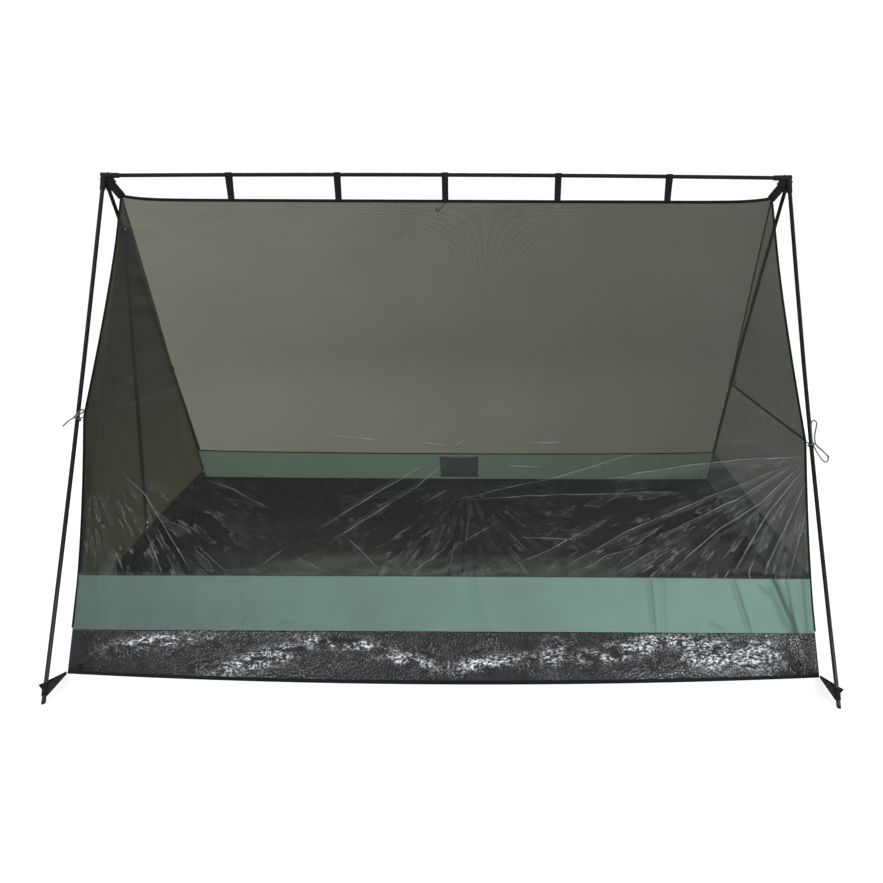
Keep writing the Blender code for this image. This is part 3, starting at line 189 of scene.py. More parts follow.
# %% Finish helpers
class Finish:
    """A material being made: its shader, and short ways to add and join nodes."""

    def __init__(self, name, colour, roughness, **sockets):
        self.material = bpy.data.materials.new(name)
        self.material.use_nodes = True
        self.tree = self.material.node_tree
        self.shader = self.tree.nodes["Principled BSDF"]
        self.shader.inputs["Base Color"].default_value = (*colour, 1)
        self.shader.inputs["Roughness"].default_value = roughness
        for socket, value in sockets.items():
            self.shader.inputs[socket.replace("_", " ")].default_value = value
        self.material.diffuse_color = (*colour, 1)

    def node(self, kind, **settings):
        node = self.tree.nodes.new(kind)
        for key, value in settings.items():
            setattr(node, key, value)
        return node

    def join(self, start, end):
        self.tree.links.new(start, end)

    def maths(self, operation, *values, clamp=False):
        node = self.node("ShaderNodeMath", operation=operation, use_clamp=clamp)
        for socket, value in zip(node.inputs, values):
            if isinstance(value, (int, float)):
                socket.default_value = value
            else:
                self.join(value, socket)
        return node.outputs[0]

    def times(self, first, *others):
        for other in others:
            first = self.maths("MULTIPLY", first, other)
        return first

    def cloth_axes(self):
        """The piece's own coordinates in metres: across and along its threads."""
        uv = self.node("ShaderNodeUVMap", uv_map="cloth")
        split = self.node("ShaderNodeSeparateXYZ")
        self.join(uv.outputs[0], split.inputs[0])
        return split.outputs[0], split.outputs[1]

    def threads(self, axis, pitch):
        """0 along each thread's centre line and 1 midway between two threads."""
        turn = self.times(axis, math.pi / pitch)
        return self.maths("ABSOLUTE", self.maths("SINE", turn))

    def noise(self, size, detail=3.0, stretch=(1, 1, 1), rough=0.55):
        """Cloudy variation whose spots are about size across."""
        place = self.node("ShaderNodeTexCoord")
        scaled = self.node("ShaderNodeMapping")
        scaled.inputs["Scale"].default_value = stretch
        cloud = self.node("ShaderNodeTexNoise")
        cloud.inputs["Scale"].default_value = 1 / size
        cloud.inputs["Detail"].default_value = detail
        cloud.inputs["Roughness"].default_value = rough
        self.join(place.outputs["Object"], scaled.inputs["Vector"])
        self.join(scaled.outputs[0], cloud.inputs["Vector"])
        return cloud.outputs[0]

    def ramp(self, value, low, high, start, end):
        """start where the value is low, end where it is high."""
        node = self.node("ShaderNodeMapRange")
        for socket, number in zip(list(node.inputs)[1:5], (low, high, start, end)):
            socket.default_value = number
        self.join(value, node.inputs[0])
        return node.outputs[0]

    def tint(self, value, dark, light):
        """Puts a colour between two on the shader, by a value from 0 to 1."""
        node = self.node("ShaderNodeMix", data_type="RGBA")
        node.inputs["A"].default_value = (*dark, 1)
        node.inputs["B"].default_value = (*light, 1)
        self.join(value, node.inputs["Factor"])
        self.join(node.outputs["Result"], self.shader.inputs["Base Color"])

    def mark(self, name="fold"):
        """A value the mesh carries; fold is 1 where light or shade is painted, 0 elsewhere."""
        return self.node("ShaderNodeAttribute", attribute_name=name).outputs["Fac"]

    def near(self, value, centre, reach):
        """1 where the value is the centre, falling to 0 at a reach from it."""
        away = self.maths("ABSOLUTE", self.maths("SUBTRACT", value, centre))
        return self.maths("SUBTRACT", 1, self.maths("DIVIDE", away, reach), clamp=True)

    def rays(self, across, along, centre, count, seed):
        """Cloudy variation that runs in rays out from a point of the cloth."""
        side = self.maths("SUBTRACT", across, centre[0])
        down = self.maths("SUBTRACT", along, centre[1])
        far = self.maths("SQRT", self.maths("ADD", self.times(side, side), self.times(down, down)))
        turn = self.maths("ARCTAN2", down, side)
        place = self.node("ShaderNodeCombineXYZ")
        self.join(self.times(turn, count), place.inputs[0])
        self.join(self.times(far, 6.0), place.inputs[1])
        place.inputs[2].default_value = seed
        cloud = self.node("ShaderNodeTexNoise")
        cloud.inputs["Scale"].default_value = 1.0
        cloud.inputs["Detail"].default_value = 3.0
        self.join(place.outputs[0], cloud.inputs["Vector"])
        return cloud.outputs[0]

    def cover(self, value, colour):
        """Lays a colour over the shader's own, by a value from 0 to 1."""
        socket = self.shader.inputs["Base Color"]
        node = self.node("ShaderNodeMix", data_type="RGBA")
        self.join(socket.links[0].from_socket, node.inputs["A"])
        node.inputs["B"].default_value = (*colour, 1)
        self.join(value, node.inputs["Factor"])
        self.join(node.outputs["Result"], socket)

    def blend(self, share, other):
        """Mixes another shader into the surface, by a share from 0 to 1."""
        mix = self.node("ShaderNodeMixShader")
        if isinstance(share, (int, float)):
            mix.inputs[0].default_value = share
        else:
            self.join(share, mix.inputs[0])
        self.join(self.shader.outputs[0], mix.inputs[1])
        self.join(other.outputs[0], mix.inputs[2])
        self.join(mix.outputs[0], self.tree.nodes["Material Output"].inputs["Surface"])

    def bump(self, height, distance, strength=1.0, under=None):
        node = self.node("ShaderNodeBump")
        node.inputs["Distance"].default_value = distance
        node.inputs["Strength"].default_value = strength
        self.join(height, node.inputs["Height"])
        if under is not None:
            self.join(under, node.inputs["Normal"])
        self.join(node.outputs[0], self.shader.inputs["Normal"])
        return node.outputs[0]


def shade(value, factor):
    return tuple(channel * factor for channel in value)


# %% [markdown]
# ## Insect net
# The net is a fine knit of thin dark threads, mostly holes. At arm's length the eye sees
# through it, so its shader is partly clear: nearly solid on a thread and half clear in a
# hole. The two layers of the tent add up to the warm grey of the long sides. The ends
# are seen at a steep slant, where a real net closes up, so their net has smaller holes.
# The door's net is darker, greener and less clear than the right end's: painted shade for
# the door end. Creases on the net carry painted highlights and painted shade.

# %% Net finishes
NET_PITCH = 0.0010
# Colours laid on the net's creases: a painted highlight and a painted shade.
PAINTED_CREASE_HIGHLIGHT, PAINTED_CREASE_SHADE = (0.190, 0.205, 0.212), (0.001, 0.001, 0.001)
PAINTED_NET_RAYS = (
    ((1.09, 0.79), 15, 1.3, 0.20, 0.60),
    ((-1.09, 0.74), 15, 4.7, -0.45, -0.85),
    ((0.07, 0.88), 9, 8.2, None, None),
)


def long_creases(net, across, along):
    """Painted highlight and shade on creases: those of the mesh and finer ones in rays."""
    side, fold = net.mark("side"), net.mark()
    lit = net.times(net.near(side, 0.08, 0.20), fold)
    dark = net.times(net.near(side, -0.24, 0.20), fold)
    low = net.ramp(along, 0.84, 0.97, 0, 1)
    broken = net.ramp(net.noise(0.05, detail=3), 0.42, 0.60, 0.1, 1)
    for centre, count, seed, begin, full in PAINTED_NET_RAYS:
        cloud = net.rays(across, along, centre, count, seed)
        if begin is None:
            place = net.ramp(net.maths("ABSOLUTE", across), 0.42, 0.20, 0, 0.6)
        else:
            place = net.ramp(across, begin, full, 0, 1)
        place = net.times(place, low, broken)
        fine = net.times(net.near(cloud, 0.52, 0.028), 0.70)
        broad = net.times(net.ramp(cloud, 0.54, 0.62, 0, 1), 0.24)
        lit = net.maths("ADD", lit, net.times(net.maths("ADD", fine, broad), place))
        shaded = net.times(net.near(cloud, 0.475, 0.026), place, 0.8)
        dark = net.maths("ADD", dark, shaded)
    return net.maths("MINIMUM", lit, 1.0), net.maths("MINIMUM", dark, 1.0)


def end_creases(net, across, along):
    """Painted shade, and a faint painted highlight, on wrinkles from the ridge to the rear tie."""
    cloud = net.rays(across, along, (0.0, 0.0), 24, 3.1)
    beside, above = net.ramp(across, 0.02, 0.10, 0, 1), net.ramp(along, 0.66, 0.50, 0, 1)
    place = net.times(beside, above)
    lit = net.times(net.near(cloud, 0.54, 0.02), place, 0.15)
    return lit, net.times(net.near(cloud, 0.49, 0.04), place)


def net_finish(
    name, colour, hole_clearness, thread_clearness, tint, lean=0.0, drop=0.0,
    shine=0.12, rough=0.32, creases=None,
):
    """Partly clear cloth; lean makes it clearer towards its left and drop towards its foot."""
    net = Finish(name, colour, rough, Specular_IOR_Level=shine)
    across, along = net.cloth_axes()
    hole = net.times(net.threads(across, NET_PITCH), net.threads(along, NET_PITCH))
    opening = net.ramp(hole, 0.25, 0.60, thread_clearness, hole_clearness)
    patch = net.noise(0.30, detail=2)
    clear = net.times(
        opening,
        net.ramp(patch, 0.3, 0.7, 0.97, 1.03),
        net.ramp(across, -1.1, 1.1, 1 + lean, 1 - lean),
        net.ramp(along, 0.2, 1.15, 1 - drop, 1 + drop),
    )
    net.tint(net.ramp(patch, 0.3, 0.7, 0, 1), shade(colour, 0.88), shade(colour, 1.12))
    if creases:
        lit, dark = creases(net, across, along)
        clear = net.times(clear, net.ramp(lit, 0, 1, 1, 0.62), net.ramp(dark, 0, 1, 1, 0.60))
        # Painted highlight on the lit side of each crease and painted shade on the other; the net
        # is also less clear there.
        net.cover(lit, PAINTED_CREASE_HIGHLIGHT)
        net.cover(dark, PAINTED_CREASE_SHADE)
    net.bump(hole, 0.0002, strength=0.15)
    holes = net.node("ShaderNodeBsdfTransparent")
    holes.inputs["Color"].default_value = (*tint, 1)
    net.blend(clear, holes)
    return net.material


SIDE_NET = ((0.0150, 0.0158, 0.0162), 0.430, 0.198, (0.985, 1.0, 0.875), 0.18)
DULL = {"shine": 0.04, "rough": 0.5}
FRONT_NET = net_finish("front_net", *SIDE_NET, drop=-0.05, creases=long_creases)
REAR_NET = net_finish("rear_net", *SIDE_NET, drop=-0.11)
END_NET = net_finish(
    "end_net", (0.008, 0.010, 0.012), 0.265, 0.130, (0.95, 1.0, 0.98), drop=-0.20,
    creases=end_creases, **DULL,
)
# Painted shade: the door's net is a darker, greener, less clear copy, as that end lies in shade.
SHADED_DOOR_NET = net_finish(
    "door_net", (0.030, 0.039, 0.022), 0.070, 0.014, (0.85, 1.0, 0.52), drop=0.75, **DULL,
)
print("net finishes:", FRONT_NET.name, REAR_NET.name, END_NET.name, SHADED_DOOR_NET.name)

# %% [markdown]
# ## Coated fabric, sheeting and webbing
# The band is a plain coated fabric with a soft shine. The floor is woven sheeting with
# a glossy black coating, full of small creases, and the webbing is a dull tight weave.
# Threads of a millimetre or less go into the bump, larger creases into the mesh. The
# front band has painted shade towards its left and in its folds, and the front wall of
# the sheeting has painted glints.

# %% Cloth and webbing finishes
FABRIC_PITCH, SHEETING_PITCH = 0.0009, 0.0024
BLACK_COAT, PAINTED_GLINT = (0.006, 0.0062, 0.0070), (0.82, 0.86, 0.90)
CELL = 0.009


def thin_cloth(name, colour, glow, lean=0.0):
    """Plain weave that lets some light through; lean paints shade towards its left."""
    cloth = Finish(name, colour, 0.50, Sheen_Weight=0.15, Sheen_Roughness=0.4)
    across, along = cloth.cloth_axes()
    weave = cloth.times(cloth.threads(across, FABRIC_PITCH), cloth.threads(along, FABRIC_PITCH))
    patch = cloth.noise(0.16, detail=4)
    mottle = cloth.ramp(patch, 0.3, 0.7, 0.40, 0.64)
    # Painted shade: the colour darkens towards the left, standing in for light that falls off
    # there.
    fade = cloth.ramp(across, -1.1, 0.9, -lean, 0.5 * lean)
    grey = tuple(0.12 * sum(colour) / 3 + 0.28 * channel for channel in colour)
    cloth.tint(cloth.maths("ADD", mottle, fade, clamp=True), grey, shade(colour, 1.12))
    # Painted shade in the folds, where the mesh's fold mark says.
    cloth.cover(cloth.mark(), shade(colour, 0.30))
    cloth.join(cloth.ramp(patch, 0.3, 0.7, 0.44, 0.58), cloth.shader.inputs["Roughness"])
    soft = cloth.bump(cloth.noise(0.035, detail=4), 0.004, strength=0.22)
    cloth.bump(weave, 0.0002, strength=0.5, under=soft)
    through = cloth.node("ShaderNodeBsdfTranslucent")
    through.inputs["Color"].default_value = (*colour, 1)
    cloth.blend(glow, through)
    return cloth.material


def sheeting_finish(name, crinkle, shine, smooth, rough):
    """Glossy black sheeting with painted glints where marked; crinkle sets its smallest creases."""
    sheet = Finish(
        name, BLACK_COAT, 0.20, Specular_IOR_Level=shine, Specular_Tint=(0.92, 0.96, 1.0, 1.0)
    )
    across, along = (sheet.threads(axis, SHEETING_PITCH) for axis in sheet.cloth_axes())
    weave = sheet.maths("ADD", across, along)
    patch = sheet.noise(0.05, detail=5)
    sheet.tint(sheet.ramp(patch, 0.3, 0.7, 0, 1), shade(BLACK_COAT, 0.7), shade(BLACK_COAT, 1.5))
    wear = sheet.ramp(sheet.noise(0.05), 0.35, 0.65, smooth, rough)
    sheet.join(wear, sheet.shader.inputs["Roughness"])
    cells = sheet.node("ShaderNodeTexVoronoi", feature="DISTANCE_TO_EDGE")
    cells.inputs["Scale"].default_value = 1 / CELL
    place = sheet.node("ShaderNodeTexCoord")
    sheet.join(place.outputs["Object"], cells.inputs["Vector"])
    ridges = sheet.ramp(cells.outputs["Distance"], 0.0, 0.25, 1.0, 0.0)
    creases = sheet.bump(ridges, 0.0014, strength=crinkle)
    grain = sheet.noise(0.007, detail=5, stretch=(0.7, 1, 1.3), rough=0.7)
    spots = sheet.noise(0.030, detail=3, stretch=(0.6, 1, 1.4))
    grain, spots = sheet.ramp(grain, 0.48, 0.58, 0, 1), sheet.ramp(spots, 0.42, 0.56, 0, 1)
    # Painted glints: pale speckles where the mesh marks glint patches.
    sheet.cover(sheet.times(grain, spots, sheet.mark()), PAINTED_GLINT)
    sheet.bump(weave, 0.0002, strength=0.15, under=creases)
    return sheet.material


def webbing_finish(name, colour, pitch, roughness=0.72):
    tape = Finish(
        name, colour, roughness, Specular_IOR_Level=0.12, Sheen_Weight=0.03, Sheen_Roughness=0.45
    )
    across, along = tape.cloth_axes()
    slant = tape.maths("ADD", across, tape.times(along, 0.7))
    weave = tape.times(tape.threads(slant, pitch), tape.threads(along, pitch * 0.8))
    patch = tape.noise(0.012, detail=4)
    tape.tint(tape.times(weave, patch), shade(colour, 0.7), shade(colour, 1.9))
    tape.bump(weave, 0.0006, strength=0.8)
    return tape.material


GREEN = thin_cloth("green_band_cloth", (0.188, 0.338, 0.276), 0.30, lean=0.50)
GREEN_REAR = thin_cloth("green_rear_cloth", (0.245, 0.352, 0.302), 0.34)
GREEN_END = thin_cloth("green_end_cloth", (0.210, 0.350, 0.280), 0.10)
POCKET = thin_cloth("pocket_cloth", (0.640, 0.740, 0.750), 0.42)
SHEETING = sheeting_finish("black_floor_sheeting", 0.12, 0.34, 0.20, 0.32)
CRINKLED = sheeting_finish("black_wall_sheeting", 0.28, 0.33, 0.14, 0.26)
WEBBING = webbing_finish("black_webbing_weave", (0.010, 0.010, 0.011), 0.0022)
BINDING = webbing_finish("seam_binding", (0.008, 0.009, 0.008), 0.0010)
ZIP_CLOTH = webbing_finish("zip_tape_cloth", (0.022, 0.024, 0.021), 0.0008)
TIE_CORD = webbing_finish("tie_cord_braid", (0.145, 0.175, 0.155), 0.0016, roughness=0.6)
SHOCK_CORD = webbing_finish("shock_cord_braid", (0.055, 0.055, 0.060), 0.0014)
print("cloth finishes made")

# %% [markdown]
# ## Metal and moulded pieces
# The poles are tubes with a black coat that is a little glossy and a little scuffed.
# The moulded parts are duller, with a fine moulded grain. The slider and its pulls are
# bare metal.

# %% Rigid finishes
def hard_finish(name, colour, smooth, scuffed, grain, metallic=0.0, shine=0.35):
    hard = Finish(name, colour, smooth, Metallic=metallic, Specular_IOR_Level=shine)
    scuffs = hard.noise(0.02, detail=6, rough=0.7)
    hard.join(hard.ramp(scuffs, 0.35, 0.7, smooth, scuffed), hard.shader.inputs["Roughness"])
    hard.tint(hard.ramp(scuffs, 0.35, 0.75, 0, 1), shade(colour, 0.85), shade(colour, 1.5))
    hard.bump(hard.noise(grain, detail=2), grain * 0.1, strength=0.15)
    return hard.material


POLE = hard_finish("pole_coat", (0.006, 0.006, 0.007), 0.24, 0.34, 0.004, shine=0.14)
MOULDING = hard_finish("moulded_black", (0.008, 0.008, 0.009), 0.50, 0.62, 0.0012, shine=0.12)
METAL = hard_finish("slider_metal", (0.09, 0.09, 0.085), 0.32, 0.48, 0.002, metallic=1.0)


def refinish(names, material):
    for name in names:
        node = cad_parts[name]
        node.data.materials.clear()
        node.data.materials.append(material)


CORNERS = [(face, end) for face in SIDES for end in ENDS]
refinish([f"ridge_pole_{i}" for i in (1, 2, 3, 4)], POLE)
refinish([f"leg_{f}_{e}_{part}" for f, e in CORNERS for part in ("upper", "lower")], POLE)
refinish([f"leg_plug_{f}_{e}" for f, e in CORNERS], MOULDING)
refinish([f"apex_connector_{end}" for end in ENDS] + ["ridge_hook"], MOULDING)
refinish(["zip_slider", "zip_pull_outside", "zip_pull_inside"], METAL)
refinish(["ridge_shock_cord"] + [f"leg_shock_cord_{f}_{e}" for f, e in CORNERS], SHOCK_CORD)
print("rigid pieces refinished")

# %% [markdown]
# ## How a piece of cloth is made
# A panel starts as a grid of points on its curved surface. Each fold is then a height
# above that surface, added along its normal. The grid becomes one mesh with smooth
# shading and a UV map in metres. Tape, cord and webbing are swept along a path instead.

# %% Mesh helpers
def finish_piece(name, points, faces, uvs, material, nodes, body="root"):
    """One mesh piece that rides on a body and stands for CAD nodes."""
    mesh = bpy.data.meshes.new(name)
    mesh.from_pydata([tuple(p) for p in points], [], faces)
    layer = mesh.uv_layers.new(name="cloth")
    corners = np.empty(len(mesh.loops), np.int32)
    mesh.loops.foreach_get("vertex_index", corners)
    layer.data.foreach_set("uv", np.asarray(uvs, np.float32)[corners].ravel())
    mesh.materials.append(material)
    mesh.shade_smooth()
    piece = bpy.data.objects.new(name, mesh)
    bpy.context.scene.collection.objects.link(piece)
    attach(piece, body)
    if nodes:
        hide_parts(*nodes)
    return piece


def grid_faces(rows, columns, start=0):
    corners = [start + i * columns + j for i in range(rows - 1) for j in range(columns - 1)]
    return [(a, a + 1, a + columns + 1, a + columns) for a in corners]


def tube_faces(rings, sides, start=0):
    """Faces of a tube that is given as rings of points, with a cap at both ends."""
    last = start + (rings - 1) * sides
    faces = [tuple(range(start, start + sides))[::-1], tuple(range(last, last + sides))]
    for ring in range(start, last, sides):
        for k in range(sides):
            a, b = ring + k, ring + (k + 1) % sides
            faces.append((a, b, b + sides, a + sides))
    return faces


def normals_of(grid):
    normal = np.cross(np.gradient(grid, axis=1), np.gradient(grid, axis=0))
    return normal / np.maximum(np.linalg.norm(normal, axis=-1, keepdims=True), 1e-12)


def add_marks(piece, marks):
    """Values from -1 to 1 at each point, which the finishes read."""
    for name, values in marks.items():
        layer = piece.data.attributes.new(name, "FLOAT", "POINT")
        layer.data.foreach_set("value", np.clip(values, -1, 1).astype(np.float32).ravel())


def thicken(piece, thickness):
    shell = piece.modifiers.new("Thickness", "SOLIDIFY")
    shell.thickness = thickness
    shell.offset = 0.0


def cloth(name, grid, uv, material, nodes, slot, body="root", marks=None):
    points, faces = grid.reshape(-1, 3), grid_faces(*grid.shape[:2])
    piece = finish_piece(name, points, faces, uv.reshape(-1, 2), material, nodes, body)
    add_marks(piece, marks or {})
    return piece


def smooth_path(points, per_span):
    """A smooth curve through the given points."""
    points = np.asarray(points, float)
    ends = np.vstack([2 * points[0] - points[1], points, 2 * points[-1] - points[-2]])
    path = []
    for i in range(1, len(ends) - 2):
        a, b, c, d = ends[i - 1 : i + 3]
        for k in range(per_span):
            t = k / per_span
            path.append(0.5 * (2 * b + (c - a) * t + (2 * a - 5 * b + 4 * c - d) * t * t
                               + (3 * b - a - 3 * c + d) * t ** 3))
    path.append(points[-1])
    return np.array(path)


def directions(path):
    run = np.gradient(np.asarray(path, float), axis=0)
    return run / np.linalg.norm(run, axis=1, keepdims=True)


def distances(path):
    steps = np.linalg.norm(np.diff(path, axis=0), axis=1)
    return np.concatenate([[0.0], np.cumsum(steps)])


SWEPT_SIDES, SQUARE_WIDE, SQUARE_THIN = 10, 0.35, 0.8


def swept(name, path, wide, thin, half_width, half_depth, material, nodes, slot):
    """A bar of flattened round section; wide and thin are its two directions at each point."""
    path = np.asarray(path, float)
    turns = 2 * math.pi * (np.arange(SWEPT_SIDES) + 0.5) / SWEPT_SIDES
    across = np.sign(np.cos(turns)) * np.abs(np.cos(turns)) ** SQUARE_WIDE
    through = np.sign(np.sin(turns)) * np.abs(np.sin(turns)) ** SQUARE_THIN
    half_width = np.broadcast_to(half_width, len(path))
    half_depth = np.broadcast_to(half_depth, len(path))
    points, uvs = [], []
    for i, run in enumerate(distances(path)):
        for a, t in zip(across, through):
            points.append(path[i] + wide[i] * a * half_width[i] + thin[i] * t * half_depth[i])
            uvs.append((a * half_width[i], run))
    faces = tube_faces(len(path), SWEPT_SIDES)
    return finish_piece(name, points, faces, uvs, material, nodes)


def frame_along(path, guide):
    """For each point of a path: the guide made square to it, and the third direction."""
    run = directions(path)
    guide = np.broadcast_to(guide, run.shape)
    wide = guide - run * (guide * run).sum(axis=1, keepdims=True)
    wide /= np.linalg.norm(wide, axis=1, keepdims=True)
    return wide, np.cross(run, wide)


def cloud(x, y, size, seed):
    """Smooth bumps from -1 to 1, about size apart, the same on every run."""
    table = np.random.RandomState(seed).rand(64, 64) * 2 - 1
    x, y = np.asarray(x) / size + 1000, np.asarray(y) / size + 1000
    i, j = np.floor(x).astype(int), np.floor(y).astype(int)
    u, v = x - i, y - j
    u, v = u * u * (3 - 2 * u), v * v * (3 - 2 * v)
    low = table[i % 64, j % 64] * (1 - u) + table[(i + 1) % 64, j % 64] * u
    high = table[i % 64, (j + 1) % 64] * (1 - u) + table[(i + 1) % 64, (j + 1) % 64] * u
    return low * (1 - v) + high * v


# %% [markdown]
# ## Ties first
# The four ties are limp cords that go from the hip seam once round the leg and then
# hang as a bow or a tail. A cord has a real length, so each one follows a written route,
# given in millimetres from the leg: towards the hip, outward past the leg, and up.

# %% Tie cords
TIE_RADIUS, CORD_SIDES = 0.0021, 10
TIE_CLEARANCE = 0.0009
WRAP_STEPS, WRAP_BEGIN, WRAP_TURN, WRAP_RISE = 8, -0.45, 1.55, 0.0085
TIE_LOOSE = {
    ("front", "left"): (
        (-13, 2, 2), (-15, -7, 10), (-14, -17, 20), (-12, -25, 28), (-9, -29, 27), (-9, -28, 21),
        (-13, -18, 13), (-18, -7, 4), (-20, 4, -3), (-18, 19, -11), (-15, 36, -24),
    ),
    ("front", "right"): (
        (-10, 6, 2), (-13, 14, -7), (-14, 25, -18), (-15, 34, -28), (-17, 40, -38), (-18, 37, -49),
        (-19, 28, -53), (-20, 18, -47), (-20, 9, -34), (-20, 0, -19), (-21, -7, -3), (-21, -10, 14),
        (-20, -9, 31), (-19, -8, 48), (-19, -7, 61), (-20, -2, 70), (-21, 5, 70), (-22, 9, 61),
        (-23, 5, 48), (-24, -1, 33), (-26, -5, 19), (-27, -5, 4), (-27, 2, -8), (-27, 13, -18),
        (-26, 25, -28), (-26, 37, -39),
    ),
    ("rear", "left"): ((-13, 2, 5), (-17, 8, 6), (-21, 12, -2), (-23, 13, -14), (-24, 13, -28)),
    ("rear", "right"): ((-13, 2, 0), (-17, 8, 0), (-21, 12, -6), (-23, 13, -18), (-24, 13, -31)),
}


def tie_route(face, end):
    leg = leg_point(face, end, TIE_HEIGHT[face, end])
    axis = -leg_direction(face, end)
    hip = hip_point(face, end, tie_share(face, end))
    toward = hip - leg
    toward = unit(toward - axis * np.dot(toward, axis))
    away = np.cross(axis, toward)
    if away[0] * ENDS[end] < 0:
        away = -away
    radius = POLE_RADIUS + TIE_RADIUS + TIE_CLEARANCE
    wrap = []
    for gone in np.linspace(0, 1, WRAP_STEPS + 1):
        turn = math.pi * (WRAP_BEGIN + WRAP_TURN * gone)
        around = toward * math.cos(turn) - away * math.sin(turn)
        wrap.append(leg + around * radius + axis * (WRAP_RISE * gone - 0.0050))
    start = hip + unit(wrap[0] - hip) * (0.0034 + TIE_RADIUS)
    route = [start * (1 - share) + wrap[0] * share for share in (0.0, 0.35, 0.7, 0.92)] + wrap
    for a, b, c in TIE_LOOSE[face, end]:
        route.append(leg + (toward * a + away * b + axis * c) / 1000)
    return route


def round_cord(name, path, node):
    """A tube along a path, whose section doesn't twist."""
    run = directions(path)
    side = unit(np.cross(run[0], (0.3, 0.2, 0.9)))
    points, uvs = [], []
    for here, forward, gone in zip(path, run, distances(path)):
        side = unit(side - forward * np.dot(side, forward))
        other = np.cross(forward, side)
        for k in range(CORD_SIDES):
            turn = 2 * math.pi * k / CORD_SIDES
            around = side * math.cos(turn) + other * math.sin(turn)
            points.append(here + around * TIE_RADIUS)
            uvs.append((turn * TIE_RADIUS, gone))
    faces = tube_faces(len(path), CORD_SIDES)
    return finish_piece(name, points, faces, uvs, TIE_CORD, [node])


for face, end in CORNERS:
    route = tie_route(face, end)
    path = smooth_path(route, 5)
    tie = round_cord(f"tie_{face}_{end}", path, f"tie_cord_{face}_{end}")

# %% [markdown]
# ## Long net panels
# Front and rear are each one wide sheet of net, held along the ridge, down both hips
# and along the green band. It hangs nearly flat, sags inwards a little, and is drawn out
# at the ties. What makes it look like cloth is the folds that fan out from each tie.

# %% Side surfaces
SEAM_INSET = 0.0008


def tape_top(x):
    """Upper edge of the ridge tape, which lifts at the corner straps."""
    return TAPE_TOP + TAPE_RISE * (np.abs(x) / RIDGE_CORNER_X) ** TAPE_RISE_POWER


def side_surface(face, shares, acrosses):
    share, across = np.meshgrid(shares, acrosses, indexing="ij")
    mix = across[..., None]
    grid = straight_hip(face, "left", share) * (1 - mix) + straight_hip(face, "right", share) * mix
    grid[..., 2] = (tape_top(RIDGE_CORNER_X * (2 * across - 1)) - PANEL_DROP) * (1 - share)
    for end, distance in (("left", across), ("right", 1 - across)):
        fade = np.clip(1 - distance / TIE_SPREAD, 0, None) ** 2
        pull = TIE_PULL[face] * tie_weight(face, end, share) * fade
        grid = grid + tie_direction(face, end) * pull[..., None]
    sag = PANEL_SAG * np.sin(math.pi * share) * np.sin(math.pi * across)
    inward = unit((0.0, -SIDES[face] * HIP_TOP, -FLOOR_Y))
    return grid + inward * sag[..., None]


def side_grid(face, top, foot, rows, columns):
    shares = np.linspace(top, foot, rows)
    gap = SEAM_INSET / (2 * FLOOR_X)
    grid = side_surface(face, shares, gap + np.linspace(0, 1, columns) * (1 - 2 * gap))
    down = np.repeat(shares[:, None] * SLOPE_LENGTH, columns, axis=1)
    return grid, np.stack([grid[..., 0], down], axis=-1)


def line_distance(x, w, line):
    """Distance of each point from a broken line, negative to one side, and the share along it."""
    line = np.asarray(line, float)
    steps = distances(line)
    nearest, along = np.full(x.shape, np.inf), np.zeros(x.shape)
    for a, b, start in zip(line[:-1], line[1:], steps):
        length = float(np.linalg.norm(b - a))
        run = (b - a) / length
        reach = np.clip((x - a[0]) * run[0] + (w - a[1]) * run[1], 0, length)
        away = np.hypot(x - a[0] - reach * run[0], w - a[1] - reach * run[1])
        away = np.copysign(away, (x - a[0]) * run[1] - (w - a[1]) * run[0])
        closer = np.abs(away) < np.abs(nearest)
        along = np.where(closer, (start + reach) / steps[-1], along)
        nearest = np.where(closer, away, nearest)
    return nearest, along


def crease(x, w, line, width):
    """A soft ridge along a broken line, its swell from end to end, and the signed distance."""
    away, along = line_distance(x, w, line)
    swell = np.clip(np.sin(math.pi * along), 0, None) ** 0.6
    return swell * np.exp(-((away / width) ** 2)), swell, away


FAN_REACH, FAN_SPREAD = 0.12, 0.9


def fan(x, w, centre, count, height, facing, seed):
    """Folds that fan out from a tie, deepest a short way from it."""
    dx, dw = x - centre[0], w - centre[1]
    far = np.hypot(dx, dw)
    turn = np.arctan2(dw, dx) - facing
    turn = np.arctan2(np.sin(turn), np.cos(turn))
    wave = np.sin(turn * count + 2.0 * cloud(turn * 4, far * 0, 1.0, seed))
    swell = (far / FAN_REACH) * np.exp(1 - far / FAN_REACH)
    return height * swell * wave * np.exp(-((turn / FAN_SPREAD) ** 2))


